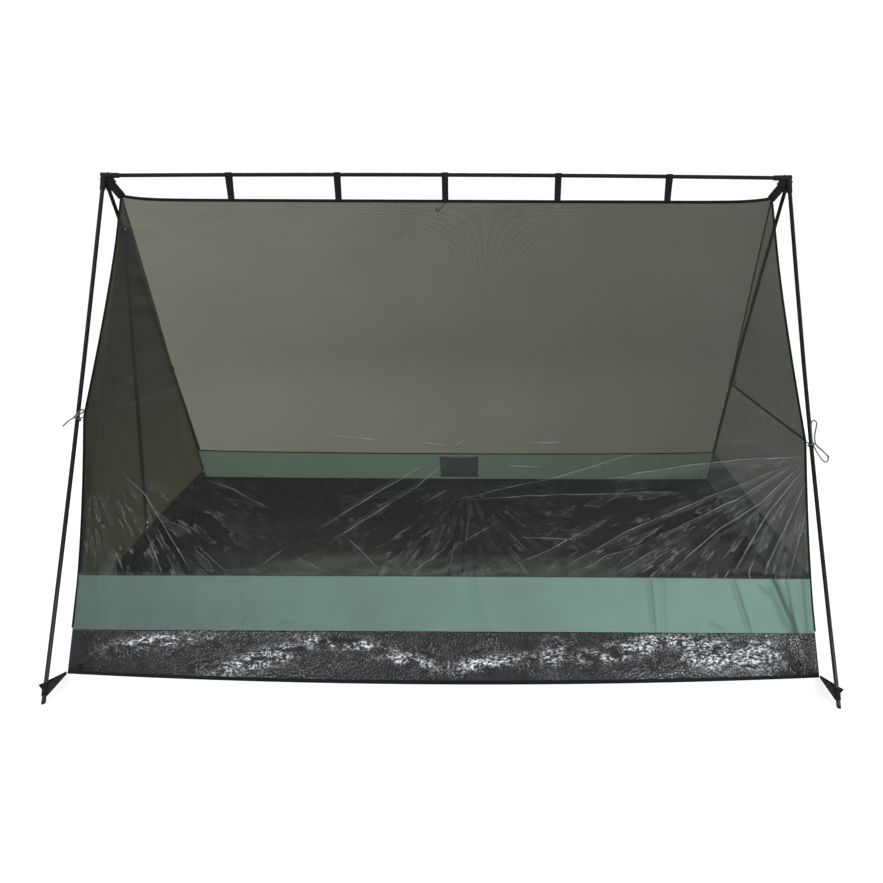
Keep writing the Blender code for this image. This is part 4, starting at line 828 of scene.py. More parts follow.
CREASES = {
    "front": (
        (((1.06, 0.793), (0.84, 0.895), (0.56, 1.02), (0.34, 1.146)), 0.0034, 0.006),
        (((1.07, 0.790), (0.89, 0.913), (0.65, 1.04)), 0.0034, 0.006),
        (((1.08, 0.796), (0.96, 0.921), (0.81, 1.03), (0.69, 1.145)), 0.0050, 0.011),
        (((1.09, 0.805), (0.98, 0.955), (0.88, 1.144)), 0.0050, 0.012),
        (((1.10, 0.830), (1.04, 0.982), (0.97, 1.143)), 0.0045, 0.011),
        (((1.11, 0.860), (1.08, 1.009), (1.05, 1.143)), 0.0030, 0.008),
        (((1.09, 0.771), (0.80, 0.803), (0.48, 0.863)), 0.0050, 0.016),
        (((0.65, 0.761), (0.33, 0.857), (0.02, 0.929)), 0.0030, 0.005),
        (((0.73, 0.898), (0.37, 0.906), (0.07, 0.926)), 0.0028, 0.006),
        (((0.66, 1.066), (0.53, 1.145)), 0.0040, 0.010),
        (((0.61, 1.057), (0.49, 1.100), (0.41, 1.143)), 0.0030, 0.006),
        (((0.52, 0.966), (0.34, 1.068), (0.17, 1.147)), 0.0030, 0.007),
        (((0.23, 1.041), (0.40, 1.049)), 0.0025, 0.005),
        (((0.08, 0.941), (0.06, 1.078)), 0.0014, 0.006),
        (((0.16, 0.996), (0.03, 1.069)), 0.0016, 0.006),
        (((-0.03, 0.798), (-0.22, 0.915), (-0.39, 1.019)), 0.0036, 0.006),
        (((0.01, 0.804), (-0.09, 0.890), (-0.36, 1.065)), 0.0036, 0.006),
        (((0.01, 0.892), (-0.07, 0.939)), 0.0025, 0.006),
        (((-0.30, 1.043), (-0.19, 1.149)), 0.0030, 0.006),
        (((0.00, 1.078), (-0.10, 1.149)), 0.0030, 0.006),
        (((-0.49, 1.081), (-0.56, 1.133)), 0.0030, 0.006),
        (((-0.45, 1.105), (-0.36, 1.153)), 0.0028, 0.006),
        (((-0.99, 0.830), (-0.91, 0.915), (-0.77, 1.152)), 0.0036, 0.007),
        (((-0.91, 1.019), (-0.86, 1.152)), 0.0030, 0.006),
        (((-0.74, 1.082), (-0.66, 1.151)), 0.0030, 0.006),
        (((-0.73, 0.865), (-0.65, 0.896), (-0.54, 0.959)), 0.0028, 0.006),
        (((-0.36, 0.729), (-0.19, 0.746)), 0.0030, 0.010),
        (((-0.07, 0.746), (0.01, 0.764)), 0.0030, 0.007),
        (((0.03, 0.764), (0.08, 0.730)), 0.0025, 0.005),
        (((0.25, 0.747), (0.38, 0.750)), 0.0030, 0.009),
        (((0.19, 0.824), (0.30, 0.824)), 0.0030, 0.009),
    ),
    "rear": (
        (((-0.80, 0.52), (-0.20, 0.70)), 0.005, 0.012),
        (((-0.20, 0.62), (0.50, 0.60)), 0.004, 0.012),
        (((-0.40, 0.78), (0.10, 0.76)), 0.005, 0.014),
        (((0.55, 0.76), (0.90, 0.74)), 0.005, 0.012),
    ),
}
CREASE_REACH, CREASE_HEIGHT = 0.012, 0.0030
LAP_SHARE, LAP_LIFT = 0.35, 0.0026


def side_folds(face, grid, uv):
    x, w = uv[..., 0], uv[..., 1]
    height = 0.0030 * cloud(x, w, 0.22, 3) + 0.0008 * cloud(x * 0.35, w, 0.030, 5)
    wander = 0.003 * cloud(x, w, 0.05, 17)
    # fold marks where the net's finish paints crease highlight and shade; side is the signed
    # distance across the crease.
    fold, side = np.zeros(x.shape), np.ones(x.shape)
    for line, tall, wide in CREASES[face]:
        ridge, swell, away = crease(x, w + wander, line, wide)
        height = height + tall * ridge
        away = np.clip(away / CREASE_REACH, -1, 1)
        closer = np.abs(away) < np.abs(side)
        side = np.where(closer, away, side)
        here = tall / CREASE_HEIGHT * swell * np.clip(1.5 - 2 * np.abs(away), 0, 1)
        fold = np.where(closer, here, fold)
    fold = fold * (0.75 + 0.5 * cloud(x, w, 0.03, 19))
    for end, facing, deep in (("left", 0.0, 0.0004), ("right", math.pi, 0.0012)):
        centre = (ENDS[end] * 1.09, tie_share(face, end) * SLOPE_LENGTH)
        height = height + fan(x, w, centre, 26, deep, facing, 11 + ENDS[end])
    top = (w - w.min()) / 0.05
    foot = (w.max() - w) / 0.02
    hip = np.minimum(x - x[:, :1], x[:, -1:] - x) / 0.06
    edge = np.clip(np.minimum(np.minimum(top, foot), hip), 0, 1)
    pucker = 0.0004 * np.sin(x / 0.011 + 3 * cloud(x, w * 0, 0.08, 9)) * np.exp(-foot / 1.5)
    lap = foot <= LAP_SHARE
    height = height * edge + pucker * ~lap + LAP_LIFT * lap
    return grid + SIDES[face] * normals_of(grid) * height[..., None], {"fold": fold, "side": side}


BAND_SHARE, WALL_SHARE = share_at(BAND_TOP), share_at(WALL_TOP)
NET_TOP, NET_LAP, BAND_GAP = -0.0020, 0.0026, 0.0002
for face, finish, rows, columns in (("front", FRONT_NET, 260, 540), ("rear", REAR_NET, 110, 220)):
    grid, uv = side_grid(face, NET_TOP, BAND_SHARE + NET_LAP, rows, columns)
    grid, marks = side_folds(face, grid, uv)
    net = cloth(f"net_{face}", grid, uv, finish, [f"mesh_{face}"], "net", marks=marks)
print("long net panels made")

# %% [markdown]
# ## Green bands
# A band of coated fabric joins the net to the floor's wall on both long sides and the
# right end. It is cut straight and sewn on under a little tension, so it shows shallow
# vertical folds that grow deeper near the right corner.

# %% Side bands
BAND_FOLD_DEEP = 0.008
BAND_FOLDS = (
    (0.63, 0.0040, 0.006, 0.10), (0.665, 0.0022, 0.007, 0.05), (0.90, 0.0045, 0.007, 0.35),
    (1.020, 0.0085, 0.014, 0.45), (1.045, 0.0040, 0.007, 0.20), (1.085, 0.0035, 0.008, 0.10),
    (-1.04, 0.0022, 0.010, 0.10), (-0.97, 0.0018, 0.012, 0.10), (-0.86, 0.0016, 0.014, 0.15),
    (-0.77, 0.0014, 0.012, 0.10), (-0.60, 0.0012, 0.016, 0.25), (0.10, 0.0014, 0.012, 0.30),
)
BAND_NICKS = (
    (((-0.625, 0.92), (-0.585, 0.68)), 0.0025, 0.005),
    (((-0.51, 0.90), (-0.44, 0.84)), 0.0022, 0.005),
    (((0.80, 0.82), (0.86, 0.96)), 0.0030, 0.006),
    (((0.95, 0.10), (0.99, 0.36)), 0.0025, 0.006),
)


def band_folds(grid, uv, outward):
    x, w = uv[..., 0], uv[..., 1]
    drop = w.max() - w.min()
    low = (w - w.min()) / drop
    height = 0.0022 * cloud(x, w * 0.4, 0.12, 21) + 0.0008 * cloud(x, w * 0.5, 0.035, 22)
    fold = np.zeros(x.shape)
    for place, tall, wide, lean in BAND_FOLDS:
        away = (x - place - lean * (low - 0.5) * 0.15) / wide
        height = height + 1.6 * tall * np.exp(-(away**2))
        # The fold mark sits on one flank of each fold and of each nick: painted shade goes there.
        fold = fold + tall / BAND_FOLD_DEEP * np.exp(-((away - 0.9) ** 2) * 1.6)
    for line, tall, wide in BAND_NICKS:
        line = [(a, b * drop) for a, b in line]
        nick = crease(x, low * drop, line, wide)[0]
        height = height - tall * nick
        fold = fold + 0.45 * nick
    seam = np.clip(np.minimum(low, 1 - low) / 0.16, 0, 1)
    pucker = 0.0008 * np.sin(x / 0.009 + 3 * cloud(x, w * 0, 0.07, 23)) * (1 - seam)
    hem = 0.0012 * (np.exp(-(((low - 0.03) / 0.03) ** 2)) + np.exp(-(((low - 0.97) / 0.03) ** 2)))
    return grid + outward * normals_of(grid) * (height * seam + pucker + hem)[..., None], fold


# Its last column says whether the band takes painted shade in its folds.
BAND_KINDS = (("front", GREEN, -0.0004, 1), ("rear", GREEN_REAR, 0.0020, 0))
for face, finish, overlap, shading in BAND_KINDS:
    grid, uv = side_grid(face, BAND_SHARE + BAND_GAP, WALL_SHARE + overlap, 40, 520)
    grid, fold = band_folds(grid, uv, SIDES[face])
    name, marks = f"green_band_{face}", {"fold": shading * fold}
    band = cloth(name, grid, uv, finish, [f"band_{face}"], "green_fabric", marks=marks)
acrosses, off_band = np.linspace(0.003, 0.997, 160), np.array([0, -0.0022, -0.0010])
seam = side_surface("rear", [BAND_SHARE - 0.0006], acrosses)[0] + off_band
wide, thin = frame_along(seam, unit((0.0, FLOOR_Y, -HIP_TOP)))
swept("rear_band_seam", seam, wide, thin, 0.0034, 0.0006, BINDING, [], "black_webbing")
print("side bands made")

# %% [markdown]
# ## Right end
# The right end is a tall triangle of net over a short band. Both hips pull on it, and a
# flat tape crosses its outside from tie to tie, so the net creases along that tape and
# wrinkles up and down below it.

# %% Right end
def end_surface(end, shares, acrosses):
    share, across = np.meshgrid(shares, acrosses, indexing="ij")
    front, rear = straight_hip("front", end, share), straight_hip("rear", end, share)
    grid = front * (1 - across[..., None]) + rear * across[..., None]
    grid[..., 0] = front[..., 0] + (rear[..., 0] - front[..., 0]) * rear_part(end, across)
    for face, distance in (("front", across), ("rear", 1 - across)):
        pull = TIE_PULL[face] * tie_weight(face, end, share) * np.clip(1 - distance, 0, None)
        grid = grid + tie_direction(face, end) * pull[..., None]
    return grid


def end_grid(end, top, foot, rows, columns):
    shares = np.linspace(top, foot, rows)
    grid = []
    for share in shares:
        half = FLOOR_Y * share + 0.0016 * (1 - share)
        gap = min(SEAM_INSET / (2 * half), 0.4)
        acrosses = gap + np.linspace(0, 1, columns) * (1 - 2 * gap)
        grid.append(end_surface(end, [share], acrosses)[0])
    grid = np.array(grid)
    down = np.repeat(shares[:, None] * SLOPE_LENGTH, columns, axis=1)
    return grid, np.stack([grid[..., 1], down], axis=-1)


def end_folds(grid, uv, deep=1.0):
    y, w = uv[..., 0], uv[..., 1]
    height = 0.0030 * cloud(y, w * 0.35, 0.07, 31) + 0.0012 * cloud(y, w * 0.25, 0.022, 32)
    for face, facing in (("front", 0.0), ("rear", math.pi)):
        share = tie_share(face, "right")
        centre = (SIDES[face] * FLOOR_Y * share, SLOPE_LENGTH * share)
        height = height + fan(y, w, centre, 20, 0.0030, facing, 33)
    width = FLOOR_Y * w / SLOPE_LENGTH
    edge = np.clip((width - np.abs(y)) / 0.04, 0, 1) * np.clip((w.max() - w) / 0.04, 0, 1)
    edge = edge * np.clip((w - w.min()) / 0.03, 0, 1)
    return grid + normals_of(grid) * (deep * height * edge)[..., None]


END_TOP, END_LAP, END_FOOT_GAP = 0.012, 0.0022, 0.0004
grid, uv = end_grid("right", END_TOP, BAND_SHARE + END_LAP, 130, 110)
net = cloth("net_right_end", end_folds(grid, uv), uv, END_NET, ["mesh_right_end"], "net")
grid, uv = end_grid("right", BAND_SHARE + BAND_GAP, WALL_SHARE - END_FOOT_GAP, 26, 150)
grid = end_folds(grid, uv, deep=0.8)
band = cloth("green_band_right_end", grid, uv, GREEN_END, ["band_right_end"], "green_fabric")
print("right end made")

# %% [markdown]
# ## Door end
# The left end opens. A narrow frame of fixed net runs up both hips and meets over the
# door. Inside it hang two flaps that the zip joins on the centre line, and each flap
# folds inwards about a straight line beside its hip.

# %% Door net
JAMB = 0.0137
DOOR_TOP_SHARE = 0.075
FLAP_DEPTH, FLAP_EDGE, ZIP_HALF = 0.0003, 0.0002, 0.0120
SURROUND_LAP, SURROUND_TOP = 0.0012, DOOR_TOP_SHARE - 0.003
DOOR_FOOT_SHARE = share_at(SILL_TOP) - 0.0005


def fold_line(face, share):
    return straight_hip(face, "left", share) - np.array([0.0, SIDES[face] * JAMB, 0.0])


def door_plane(share):
    hip = straight_hip("front", "left", share)
    hip[..., 1] = 0
    return hip


ZIP_FOOT = door_plane(np.array(DOOR_FOOT_SHARE))
ZIP_HEAD = door_plane(np.array(DOOR_TOP_SHARE))
ZIP_UP = unit(ZIP_HEAD - ZIP_FOOT)
DOOR_OUT = unit(np.cross((0.0, 1.0, 0.0), ZIP_UP))
DOOR_OUT = DOOR_OUT * -np.sign(DOOR_OUT[0])


def between(first, last, steps):
    """Rows of points that run straight across from one line to another."""
    mix = np.linspace(0, 1, steps)[None, :, None]
    return first[:, None] * (1 - mix) + last[:, None] * mix


def door_flap(face):
    sign = SIDES[face]
    shares = np.linspace(DOOR_TOP_SHARE - 0.0045, DOOR_FOOT_SHARE + 0.0015, 120)
    outer = fold_line(face, shares) - DOOR_OUT * FLAP_DEPTH
    outer[:, 1] -= sign * FLAP_EDGE
    inner = door_plane(shares) - DOOR_OUT * FLAP_DEPTH
    inner[:, 1] += sign * ZIP_HALF
    across = np.linspace(0, 1, 60)
    grid = between(outer, inner, across.size)
    down = np.repeat(shares[:, None] * SLOPE_LENGTH, across.size, axis=1)
    uv = np.stack([grid[..., 1], down], axis=-1)
    y, w = uv[..., 0], uv[..., 1]
    height = 0.0016 * cloud(y, w * 0.4, 0.08, 41) + 0.0007 * cloud(y, w * 0.3, 0.024, 42)
    edge = np.clip(np.minimum(across, 1 - across) / 0.12, 0, 1)[None]
    edge = edge * np.clip((w.max() - w) / 0.03, 0, 1)
    grid = grid + normals_of(grid) * (height * edge)[..., None]
    node = f"door_flap_{face}"
    flap = cloth(f"door_net_{face}", grid, uv, SHADED_DOOR_NET, [node], "net", body=node)


def door_frame():
    jamb, crown = np.linspace(DOOR_FOOT_SHARE, 0.10, 90), np.linspace(0.092, 0.032, 8)
    shares = np.concatenate([jamb, crown])
    rows = []
    for face, sign in SIDES.items():
        outer = hip_point(face, "left", shares)
        outer[:, 1] -= sign * SEAM_INSET
        inner = fold_line(face, np.maximum(shares, SURROUND_TOP))
        inner[:, 1] -= sign * SURROUND_LAP
        rows.append(between(outer, inner, 8))
    top = between(door_plane(np.array([0.010])), door_plane(np.array([SURROUND_TOP])), 8)
    grid = np.concatenate([rows[0], top, rows[1][::-1]])
    nodes = ["mesh_door_surround"]
    surround = cloth("net_door_surround", grid, grid[..., 1:], SHADED_DOOR_NET, nodes, "net")


for face in SIDES:
    door_flap(face)
door_frame()
print("door net made")

# %% [markdown]
# ## Tub floor
# The floor and its walls are one piece of black coated sheeting, folded up at the edges.
# It is the glossiest cloth here, and its look is all creases: broad soft swells, sharp
# folds that run through them, and a fine crackle that stays in the bump. Patches of the
# front wall also carry painted glints: pale speckles laid on its colour.

# %% Tub floor
def crackle(x, y, size, seed):
    """Sharp little ridges: the fold of a smooth cloud about zero."""
    return 1 - 2 * np.abs(cloud(x, y, size, seed))


SLACK_TURN = (0.88, 0.47)
SHEET_THICK = 0.0006
TUB_COLUMNS, TUB_ROWS, WALL_ROWS, HEM_ROWS = 560, 130, 40, 3


def slack(x, y, seed):
    """Heights of the long slack folds in sheeting that lies loose."""
    slant = x * SLACK_TURN[0] + y * SLACK_TURN[1]
    cross = -x * SLACK_TURN[1] + y * SLACK_TURN[0]
    height = 0.0060 * cloud(slant * 0.3, cross, 0.11, seed)
    height = height + 0.0020 * crackle(slant * 0.3, cross, 0.10, seed + 1)
    return height + 0.0002 * cloud(x, y, 0.03, seed + 2)


WALL_FOLDS = (
    ((-1.08, 0.27), (-0.94, 0.75), (-0.62, 0.98)),
    ((-0.74, 0.21), (-0.62, 0.48), (-0.43, 0.56), (-0.33, 0.78), (-0.21, 0.71), (-0.03, 0.45)),
    ((-0.67, 0.74), (-0.57, 0.94), (-0.44, 0.97)),
    ((0.05, 0.22), (0.10, 0.55), (0.15, 0.68)),
    ((0.30, 0.60), (0.38, 0.88)),
    ((0.58, 0.88), (0.73, 0.73), (0.85, 0.58), (1.03, 0.17)),
    ((0.65, 0.33), (0.73, 0.50), (0.77, 0.83)),
    ((0.87, 0.82), (1.00, 0.59), (1.06, 0.15)),
)


def crinkled(x, v, rise):
    """Heights of the front wall: slanting folds, with crisp creases in and around them."""
    height, amount = 0.0, np.full(x.shape, 0.35)
    for line in WALL_FOLDS:
        line = [(a, b * rise) for a, b in line]
        away = line_distance(x, v, line)[0]
        height = height + 0.0065 * np.exp(-((away / 0.014) ** 2))
        amount = amount + 0.9 * np.exp(-((away / 0.022) ** 2))
    amount = np.clip(amount, 0, 1) * np.clip((v - 0.016) / 0.02, 0.1, 1)
    fine = 0.0024 * crackle(x * 0.8 + v * 0.4, v * 1.1, 0.034, 61)
    return height + amount * (fine + 0.0007 * crackle(x, v, 0.013, 62))


WALL_GLINTS = (
    (-0.86, 0.78, 0.14, 0.15, 0.9), (-0.55, 0.42, 0.13, 0.20, 1.9), (-0.30, 0.76, 0.13, 0.13, -0.6),
    (-0.11, 0.46, 0.08, 0.12, -0.8), (0.33, 0.60, 0.030, 0.32, 2.0), (0.53, 0.62, 0.12, 0.18, 1.0),
    (0.67, 0.84, 0.07, 0.13, -0.6), (0.86, 0.56, 0.13, 0.30, -1.6), (0.79, 0.40, 0.07, 0.16, -1.0),
    (0.97, 0.66, 0.05, 0.22, -1.0), (0.12, 0.40, 0.14, 0.12, 0.8),
)


def glints(x, low):
    """1 where glints are painted on the front wall; low runs from 0 up to 1."""
    total = 0.0
    for place, height, wide, tall, slope in WALL_GLINTS:
        across = (x - place) / wide
        up = (low - height - slope * (x - place)) / tall
        total = total + np.exp(-((across**2 + up**2) ** 1.5))
    return np.clip(total, 0, 1)


def floor_edge(face, acrosses):
    x = corner_x(face) * (2 * acrosses - 1)
    y = SIDES[face] * (FLOOR_Y + BULGE[face] * (1 - (2 * acrosses - 1) ** 2))
    return np.stack([x, y, np.zeros_like(x)], axis=-1)


def floor_grid(columns, rows):
    acrosses = np.linspace(0, 1, columns)
    mix = np.linspace(0, 1, rows)[:, None, None]
    front, rear = floor_edge("front", acrosses), floor_edge("rear", acrosses)
    grid = front[None] * (1 - mix) + rear[None] * mix
    left = -FLOOR_X + REAR_CORNER_INSET * rear_part("left", mix[..., 0])
    right = FLOOR_X - REAR_CORNER_INSET * rear_part("right", mix[..., 0])
    grid[..., 0] = left + (right - left) * acrosses
    x, y = grid[..., 0], grid[..., 1]
    edge = np.clip(np.minimum(x - left, right - x) / 0.03, 0, 1)
    edge = edge * np.sin(math.pi * mix[..., 0]) ** 0.25
    grid[..., 2] = SHEET_THICK + edge * np.clip(0.0060 + slack(x, y, 51), 0, None)
    return grid, np.stack([x, y], axis=-1)


def wall_grid(low, high, rows, seed, outward, folded=False):
    mix = np.linspace(0, 1, rows)[:, None, None]
    grid = low[None] * (1 - mix) + high[None] * mix
    run = distances(low)
    rise = np.linalg.norm(high - low, axis=-1).mean()
    u = np.repeat(run[None], rows, axis=0)
    v = np.repeat(mix[..., 0] * rise, low.shape[0], axis=1)
    edge = np.sin(math.pi * mix[..., 0]) ** 0.4 * np.clip(np.minimum(u, u.max() - u) / 0.03, 0, 1)
    height = 0.0030 * cloud(u * 0.5 + v, v - u * 0.2, 0.10, seed + 7)
    height = height + (crinkled(grid[..., 0], v, rise) if folded else slack(u, v * 2, seed))
    grid = grid + outward * normals_of(grid) * (height * edge)[..., None]
    grid[..., 2] = np.maximum(grid[..., 2], SHEET_THICK)
    return grid, np.stack([u, v], axis=-1)


def side_wall(face):
    acrosses = np.linspace(0, 1, TUB_COLUMNS)
    low = floor_edge(face, acrosses) + np.array([0, 0, SHEET_THICK])
    high = side_surface(face, [WALL_SHARE], acrosses)[0]
    return wall_grid(low, high, WALL_ROWS, 70, -SIDES[face], folded=face == "front")


def end_wall(end, rise, seed):
    """A wall across an end, which climbs by a rise next to its corners: the door's sill."""
    ends = np.linspace(0, 1, TUB_ROWS)
    x = ENDS[end] * (FLOOR_X - REAR_CORNER_INSET * rear_part(end, ends))
    low = np.stack([x, FLOOR_Y * (2 * ends - 1), np.full(TUB_ROWS, SHEET_THICK)], axis=-1)
    heights = WALL_TOP + rise * np.clip(np.minimum(ends, 1 - ends) / 0.006, 0, 1)
    high = np.array([end_surface(end, [share_at(h)], [v])[0, 0] for h, v in zip(heights, ends)])
    return wall_grid(low, high, WALL_ROWS, seed, ENDS[end])


def make_tub():
    parts = [floor_grid(TUB_COLUMNS, TUB_ROWS), side_wall("front"), side_wall("rear")]
    parts += [end_wall("left", SILL_TOP - WALL_TOP, 80), end_wall("right", 0.0, 90)]
    points, uvs, faces = [], [], []
    for grid, uv in parts:
        faces += grid_faces(*grid.shape[:2], start=len(points))
        points += list(grid.reshape(-1, 3))
        uvs += list(uv.reshape(-1, 2))
    nodes = ["floor_tub"]
    tub = finish_piece("tub_floor", points, faces, uvs, SHEETING, nodes)
    tub.data.materials.append(CRINKLED)
    tub.data.materials.append(BINDING)
    # Painted glints: the front wall's glint patches go into the fold mark, which the wall finish
    # reads.
    shine = [np.zeros(grid.shape[:2]) for grid, uv in parts]
    shine[1] = glints(parts[1][0][..., 0], np.linspace(0, 1, WALL_ROWS)[:, None])
    add_marks(tub, {"fold": np.concatenate([values.ravel() for values in shine])})
    row = TUB_COLUMNS - 1
    wall = row * (TUB_ROWS - 1)
    slots = np.zeros(len(faces), np.int32)
    slots[wall : wall + row * (WALL_ROWS - 1)] = 1
    slots[wall : wall + row * HEM_ROWS] = 2
    tub.data.polygons.foreach_set("material_index", slots)
    weld = tub.modifiers.new("Join walls", "WELD")
    weld.merge_threshold = 2 * SHEET_THICK
    thicken(tub, SHEET_THICK)
    return len(points)


print("tub floor points:", make_tub())

# %% [markdown]
# ## Seam bindings and ridge tape
# A folded tape binds each hip and covers the ridge. On the real tent it is a flat tape
# that stands out from the seam as a narrow fin, so it is swept along the seam with its
# width pointing outwards, away from both panels.

# %% Bindings and ridge tape
HIP_TAPE, RIDGE_TAPE = (0.0036, 0.0019), (0.0047, 0.0026)
TAPE_MIDDLE = 0.0045


def hip_binding(end):
    steps = np.concatenate([np.linspace(0.004, 0.06, 6), np.linspace(0.08, WALL_SHARE - 0.004, 90)])
    front, rear = hip_point("front", end, steps), hip_point("rear", end, steps)
    crown = np.array([[ENDS[end] * RIDGE_CORNER_X, 0.0, HIP_TOP]])
    path = np.concatenate([front[::-1], crown, rear])
    sideways = np.clip(path[:, 1] / 0.02, -1, 1) * 0.9
    guide = [unit((ENDS[end] * 0.7, y, 0.45)) for y in sideways]
    wide, thin = frame_along(path, np.array(guide))
    name, nodes = f"hip_seam_{end}", [f"hip_binding_{end}"]
    swept(name, path, wide, thin, *HIP_TAPE, BINDING, nodes, "black_webbing")


for end in ENDS:
    hip_binding(end)

xs = np.linspace(-RIDGE_CORNER_X + 0.004, RIDGE_CORNER_X - 0.004, 160)
waver = 0.0006 * cloud(xs, xs * 0, 0.06, 4)
ridge_line = np.stack([xs, waver, tape_top(xs) - TAPE_MIDDLE], axis=-1)
wide, thin = frame_along(ridge_line, np.array([0.0, 0.0, 1.0]))
nodes = ["ridge_tape"]
swept("ridge_seam_tape", ridge_line, wide, thin, *RIDGE_TAPE, BINDING, nodes, "black_webbing")


def hook_peg():
    """The short peg on the ridge tape that the small hook hangs from."""
    pivot, normal = np.array([-0.001, -0.007, 1.32092]), unit((0.0, 0.91, -0.415))
    path = [pivot - normal * reach for reach in (0.0022, 0.0018, -0.004)]
    wide, thin = frame_along(path, np.array([1.0, 0.0, 0.0]))
    radii = (0.0006, 0.0012, 0.0012)
    swept("hook_peg", path, wide, thin, radii, radii, MOULDING, [], "black_moulding")


hook_peg()
print("seams bound")

# %% [markdown]
# ## Webbing straps
# Five short loops of webbing hold the ridge under its pole, and a wider one at each end
# goes through the eye of the moulded corner. Each is a flat strip that follows a path
# round the pole, with its width kept square to that path.

# %% Straps
WEBBING_HALF, WEBBING_THICK, APEX_HALF = 0.010, 0.0013, 0.0125
PLY = WEBBING_THICK / 2 + 0.0003
POLE_SLACK, LEG_SLACK = 0.0006, 0.00075
RIDGE_BOW = 0.0055
STRAP_SHARES = (0.1825, 0.341, 0.4985, 0.664, 0.826)


def ribbon(name, path, guide, half_widths, node, thickness=WEBBING_THICK, per_span=2):
    """Flat webbing along a path, whose half widths are spread evenly from end to end."""
    path = smooth_path(path, per_span)
    given = np.linspace(0, 1, len(half_widths))
    half_width = np.interp(np.linspace(0, 1, len(path)), given, half_widths)
    wide, thin = frame_along(path, np.asarray(guide, float))
    swept(name, path, wide, thin, half_width, thickness / 2, WEBBING, [node], "black_webbing")


def ridge_height(x):
    return APEX_HEIGHT + RIDGE_BOW * (1 - (x / APEX_X) ** 2)


def ridge_strap(number, share):
    x = 2 * APEX_X * (share - 0.5)
    pole = np.array([x, 0.0, ridge_height(x)])
    turn_radius = POLE_RADIUS + POLE_SLACK + WEBBING_THICK / 2
    foot = float(tape_top(x)) - 0.004
    tangent = math.acos((turn_radius - PLY) / (pole[2] - foot))
    splay = ((0.0028, 0.0), (0.0026, 0.004), (0.001, 0.012))
    path = [(x, -PLY - out, foot + up) for out, up in splay]
    for k in range(13):
        turn = -tangent + (2 * tangent - 2 * math.pi) * k / 12
        path.append(pole + turn_radius * np.array([0, math.sin(turn), -math.cos(turn)]))
    path += [(x, PLY + out, foot + up) for out, up in splay[::-1]]
    halves, node = [WEBBING_HALF], f"ridge_strap_{number}"
    ribbon(f"ridge_loop_{number}", path, (1, 0, 0), halves, node, per_span=3)


for number, share in enumerate(STRAP_SHARES, start=1):
    ridge_strap(number, share)


def apex_strap(end):
    apex = apex_of(end)
    corner = np.array([ENDS[end] * RIDGE_CORNER_X, 0.0, TAPE_TOP + TAPE_RISE - TAPE_MIDDLE])
    along = unit(corner - apex)
    wide = np.cross(along, (0.0, 1.0, 0.0))
    far = float(np.linalg.norm(corner - apex)) + 0.004
    stops = ((far, -0.0030), (0.042, -0.0036), (0.0350, -0.0044), (0.0250, -0.0050))
    path = [apex + along * d + np.array([0.0, y, 0.0]) for d, y in stops]
    path += [apex + along * d + np.array([0.0, -y, 0.0]) for d, y in stops[::-1]]
    ribbon(f"apex_loop_{end}", path, wide, [APEX_HALF], f"apex_strap_{end}")


for end in ENDS:
    apex_strap(end)
print("straps made")

# %% [markdown]
# ## Webbing round the legs
# Each floor corner has a tab of webbing that goes round the foot of its leg. It is wide
# where it holds the pole and narrows to the corner. The rear right leg also has a wide
# wrap just above its tie, and the right end has its flat tape.

# %% Tabs, wrap and guy tape
TAB_HEIGHT, TAB_HALF, TAB_TAPER = 0.034, 0.018, [0.0045, 0.009, 0.0140]
WRAP_ABOVE_TIE, WRAP_REACH, WRAP_HALF = 0.034, 0.019, 0.026
GUY_HALF, GUY_THICK, GUY_LIFT = 0.0045, 0.0010, 0.0035


def round_leg(centre, axis, anchor):
    """A path from an anchor, round a leg and back, with the share of the way to the leg."""
    toward = anchor - centre
    toward = toward - axis * np.dot(toward, axis)
    distance = float(np.linalg.norm(toward))
    toward = unit(toward)
    side = np.cross(axis, toward)
    radius = POLE_RADIUS + LEG_SLACK + WEBBING_THICK / 2
    tangent = math.acos((radius - PLY) / distance)
    start, end = anchor - side * PLY, anchor + side * PLY
    turns = [-tangent - (2 * math.pi - 2 * tangent) * k / 14 for k in range(15)]
    loop = [centre + (toward * math.cos(t) + side * math.sin(t)) * radius for t in turns]
    near = [start * (1 - s) + loop[0] * s for s in (0.0, 0.33, 0.67)]
    back = [loop[-1] * (1 - s) + end * s for s in (0.33, 0.67, 1.0)]
    return near + loop + back


def corner_tab(face, end):
    axis = leg_direction(face, end)
    centre = leg_point(face, end, TAB_HEIGHT)
    corner = straight_hip(face, end, np.array(1.0))
    outward = unit((centre - corner) * np.array([1, 1, 0]))
    anchor = corner + outward * 0.004 + np.array([0.0, 0.0, 0.0065])
    path = round_leg(centre, axis, anchor)
    halves = TAB_TAPER + [TAB_HALF] * 15 + TAB_TAPER[::-1]
    ribbon(f"foot_tab_{face}_{end}", path, axis, halves, f"corner_tab_{face}_{end}")


for face, end in CORNERS:
    corner_tab(face, end)

axis = leg_direction("rear", "right")
centre = leg_point("rear", "right", TIE_HEIGHT["rear", "right"] + WRAP_ABOVE_TIE)
toward = unit(straight_hip("rear", "right", tie_share("rear", "right")) - centre)
toward = unit(toward - axis * np.dot(toward, axis))
wrap = round_leg(centre, axis, centre + toward * WRAP_REACH)
ribbon("leg_wrap", wrap, axis, [WRAP_HALF], "tie_wrap_rear_right")

lean = FLOOR_X - RIDGE_CORNER_X
off_net, guy = unit((HIP_TOP, 0, lean)) * GUY_LIFT, []
for spot in np.linspace(0.03, 0.97, 24):
    share = tie_share("front", "right") * (1 - spot) + tie_share("rear", "right") * spot
    guy.append(end_surface("right", [share], [spot])[0, 0] + off_net)
down = unit((lean, 0.0, -HIP_TOP))
ribbon("end_guy_tape", guy, down, [GUY_HALF], "guy_tape_right_end", thickness=GUY_THICK)
print("tabs, wrap and guy tape made")

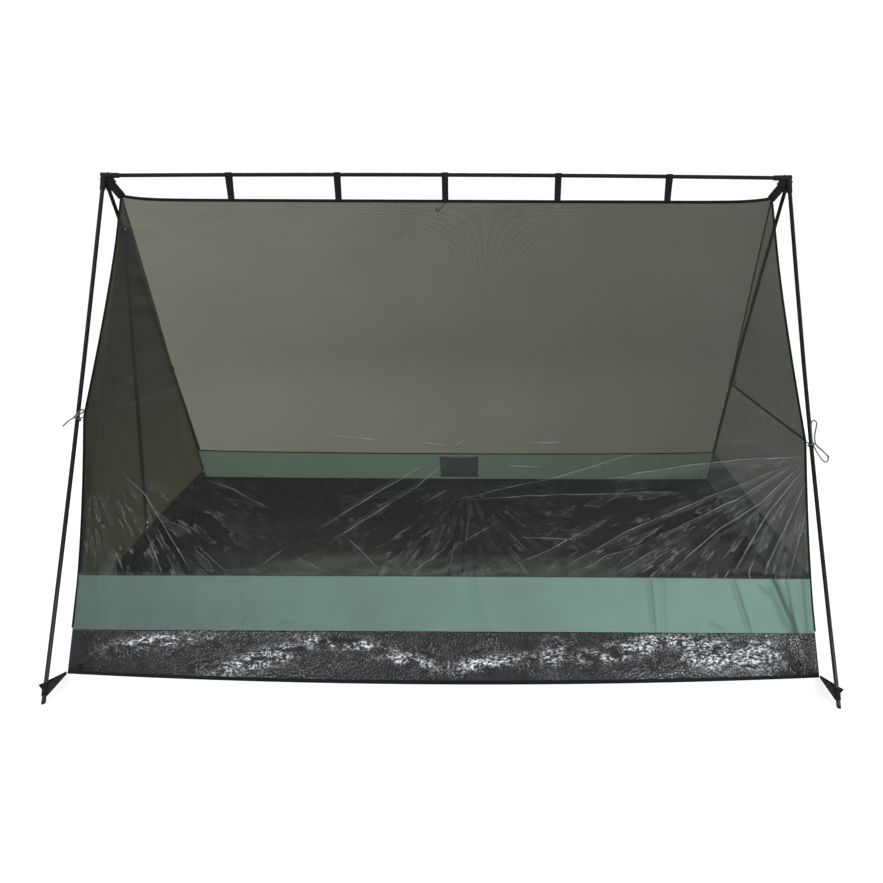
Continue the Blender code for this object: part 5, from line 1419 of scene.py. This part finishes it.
# %% [markdown]
# ## Rear pocket
# A flat pocket hangs inside the rear band. It is a plain rectangle with a hem, sewn on
# its sides and foot, so its top edge stands a little way off the band.

# %% Rear pocket
POCKET_TOP, POCKET_FOOT, POCKET_HALF, POCKET_X = 0.262, 0.136, 0.081, 0.014
POCKET_TALL = 0.14


def rear_pocket():
    across, down = np.meshgrid(np.linspace(-1, 1, 30), np.linspace(0, 1, 24))
    grid = []
    for height in np.linspace(POCKET_TOP, POCKET_FOOT, len(down)):
        share = share_at(height)
        span = corner_x("rear") * share + RIDGE_CORNER_X * (1 - share)
        acrosses = 0.5 + (POCKET_X + across[0] * POCKET_HALF) / (2 * span)
        grid.append(side_surface("rear", [share], acrosses)[0])
    hem = 0.0008 * np.exp(-((down - 0.06) / 0.04) ** 2)
    lift = 0.0034 + 0.005 * (1 - across**2) * (1 - down) + hem
    grid = np.array(grid) + unit((0.0, -HIP_TOP, -FLOOR_Y)) * lift[..., None]
    uv = np.stack([across * POCKET_HALF, down * POCKET_TALL], axis=-1)
    pocket = cloth("pocket_rear", grid, uv, POCKET, ["rear_pocket"], "pocket_fabric")
    thicken(pocket, 0.0008)


rear_pocket()
print("pocket made")

# %% [markdown]
# ## Zip
# The zip is two woven tapes with a row of small moulded teeth on each facing edge. The
# rear row stops just above the slider. Teeth are far too small to see from here, but the
# edge of each tape still has to catch the light as a beaded line.

# %% Zip tapes
TAPE_EDGES, TAPE_HALF_THICK, TAPE_STEPS = (0.0032, 0.0132), 0.0005, 40
TOOTH_PITCH, TOOTH_MIDDLE = 0.0021, 0.0020
TOOTH_RINGS = ((-0.42, 0.0007), (-0.2, 0.0012), (0.2, 0.0012), (0.42, 0.0007))
ZIP_STOP = {"front": 0.0, "rear": 0.0255}


def zip_tape(face):
    start = ZIP_FOOT + ZIP_UP * ZIP_STOP[face]
    length = float(np.linalg.norm(ZIP_HEAD - start))
    points, faces, uvs = [], [], []

    def ring(height, near, far, half):
        """Four corners of a cross-section at a height up the zip."""
        for across, out in ((near, -half), (far, -half), (far, half), (near, half)):
            sideways = np.array([0.0, SIDES[face] * across, 0.0])
            points.append(start + ZIP_UP * height + sideways + DOOR_OUT * out)
            uvs.append((across, height))

    for i in range(TAPE_STEPS + 1):
        ring(length * i / TAPE_STEPS, *TAPE_EDGES, TAPE_HALF_THICK)
    faces += tube_faces(TAPE_STEPS + 1, 4)
    for i in range(int(length / TOOTH_PITCH)):
        faces += tube_faces(len(TOOTH_RINGS), 4, start=len(points))
        for along, half in TOOTH_RINGS:
            near, far = TOOTH_MIDDLE - half, TOOTH_MIDDLE + half
            ring((i + 0.5 + along) * TOOTH_PITCH, near, far, half)
    name, flap, nodes = f"zip_side_{face}", f"door_flap_{face}", [f"zip_tape_{face}"]
    piece = finish_piece(name, points, faces, uvs, ZIP_CLOTH, nodes, body=flap)
    piece.data.shade_flat()


for face in SIDES:
    zip_tape(face)
print("zip made")

# %% [markdown]
# ## Studio
# The floor is a plain pale sheet, and the world is an even white. To the eye and in
# glints both are full white, but they throw less light than that, so the cloth keeps its
# depth. Two soft suns light the front from both sides. Three softboxes put long glints on
# the sheeting: two low in front for the walls, and one behind the tent for the floor.

# %% Studio
WORLD_LIGHT, FLOOR_GLOW = 0.38, 0.66
FLOOR_REACH, FLOOR_DROP = 400.0, 0.0005


def seen_by_eye(tree):
    """1 for the rays that the camera sees, also through or in a surface, and 0 for light."""
    rays = tree.nodes.new("ShaderNodeLightPath")
    seen = rays.outputs["Is Camera Ray"]
    for kind in ("Is Transmission Ray", "Is Glossy Ray"):
        either = tree.nodes.new("ShaderNodeMath")
        either.operation = "MAXIMUM"
        tree.links.new(seen, either.inputs[0])
        tree.links.new(rays.outputs[kind], either.inputs[1])
        seen = either.outputs[0]
    return seen


def studio_world():
    world = bpy.data.worlds.new("white_studio")
    world.use_nodes = True
    bpy.context.scene.world = world
    tree = world.node_tree
    background = tree.nodes["Background"]
    background.inputs["Color"].default_value = (1, 1, 1, 1)
    level = tree.nodes.new("ShaderNodeMapRange")
    level.inputs["To Min"].default_value = WORLD_LIGHT
    tree.links.new(seen_by_eye(tree), level.inputs["Value"])
    tree.links.new(level.outputs[0], background.inputs["Strength"])


def studio_floor():
    mesh = bpy.data.meshes.new("studio_floor")
    reach = FLOOR_REACH
    corners = [(-reach, -reach, 0), (reach, -reach, 0), (reach, reach, 0), (-reach, reach, 0)]
    mesh.from_pydata(corners, [], [(0, 1, 2, 3)])
    floor = bpy.data.objects.new("studio_floor", mesh)
    bpy.context.scene.collection.objects.link(floor)
    floor.location.z = -FLOOR_DROP
    pale = Finish("pale_floor", (0.50, 0.50, 0.50), 0.9, Specular_IOR_Level=0.1)
    glow = pale.times(seen_by_eye(pale.tree), FLOOR_GLOW)
    pale.join(glow, pale.shader.inputs["Emission Strength"])
    pale.shader.inputs["Emission Color"].default_value = (1, 1, 1, 1)
    mesh.materials.append(pale.material)


def add_light(name, kind, place, aim, **settings):
    """A light at a place that shines towards another."""
    data = bpy.data.lights.new(name, kind)
    for key, value in settings.items():
        setattr(data, key, value)
    light = bpy.data.objects.new(name, data)
    bpy.context.scene.collection.objects.link(light)
    back = unit(np.subtract(place, aim))
    side = unit(np.cross((0.0, 0.0, 1.0), back))
    axes = np.stack([side, np.cross(back, side), back, place], axis=-1)
    light.matrix_world = Matrix([*axes.tolist(), (0, 0, 0, 1)])
    return light


def soft_sun(name, towards, strength, width):
    add_light(name, "SUN", towards, (0, 0, 0), energy=strength, angle=math.radians(width))


def softbox(name, place, aim, size, power, spread=180):
    wide, tall = size
    light = add_light(
        name, "AREA", place, aim,
        shape="RECTANGLE", size=wide, size_y=tall, energy=power, spread=math.radians(spread),
    )
    light.visible_camera = False


studio_world()
studio_floor()
soft_sun("soft_sun_left", (-0.45, -0.70, 0.95), 0.75, 20)
soft_sun("soft_sun_right", (0.55, -0.60, 0.85), 0.9, 15)
softbox("softbox_right", (1.7, -3.4, 0.70), (0.75, -0.62, 0.08), (0.7, 0.35), 30)
softbox("softbox_left", (-1.3, -3.3, 0.65), (-0.55, -0.62, 0.06), (0.5, 0.3), 14)
softbox("softbox_back", (-0.2, 4.2, 2.4), (0.0, 0.2, 0.1), (4.0, 1.0), 40, spread=60)
bpy.context.scene.view_settings.view_transform = "Standard"
print("studio lit")
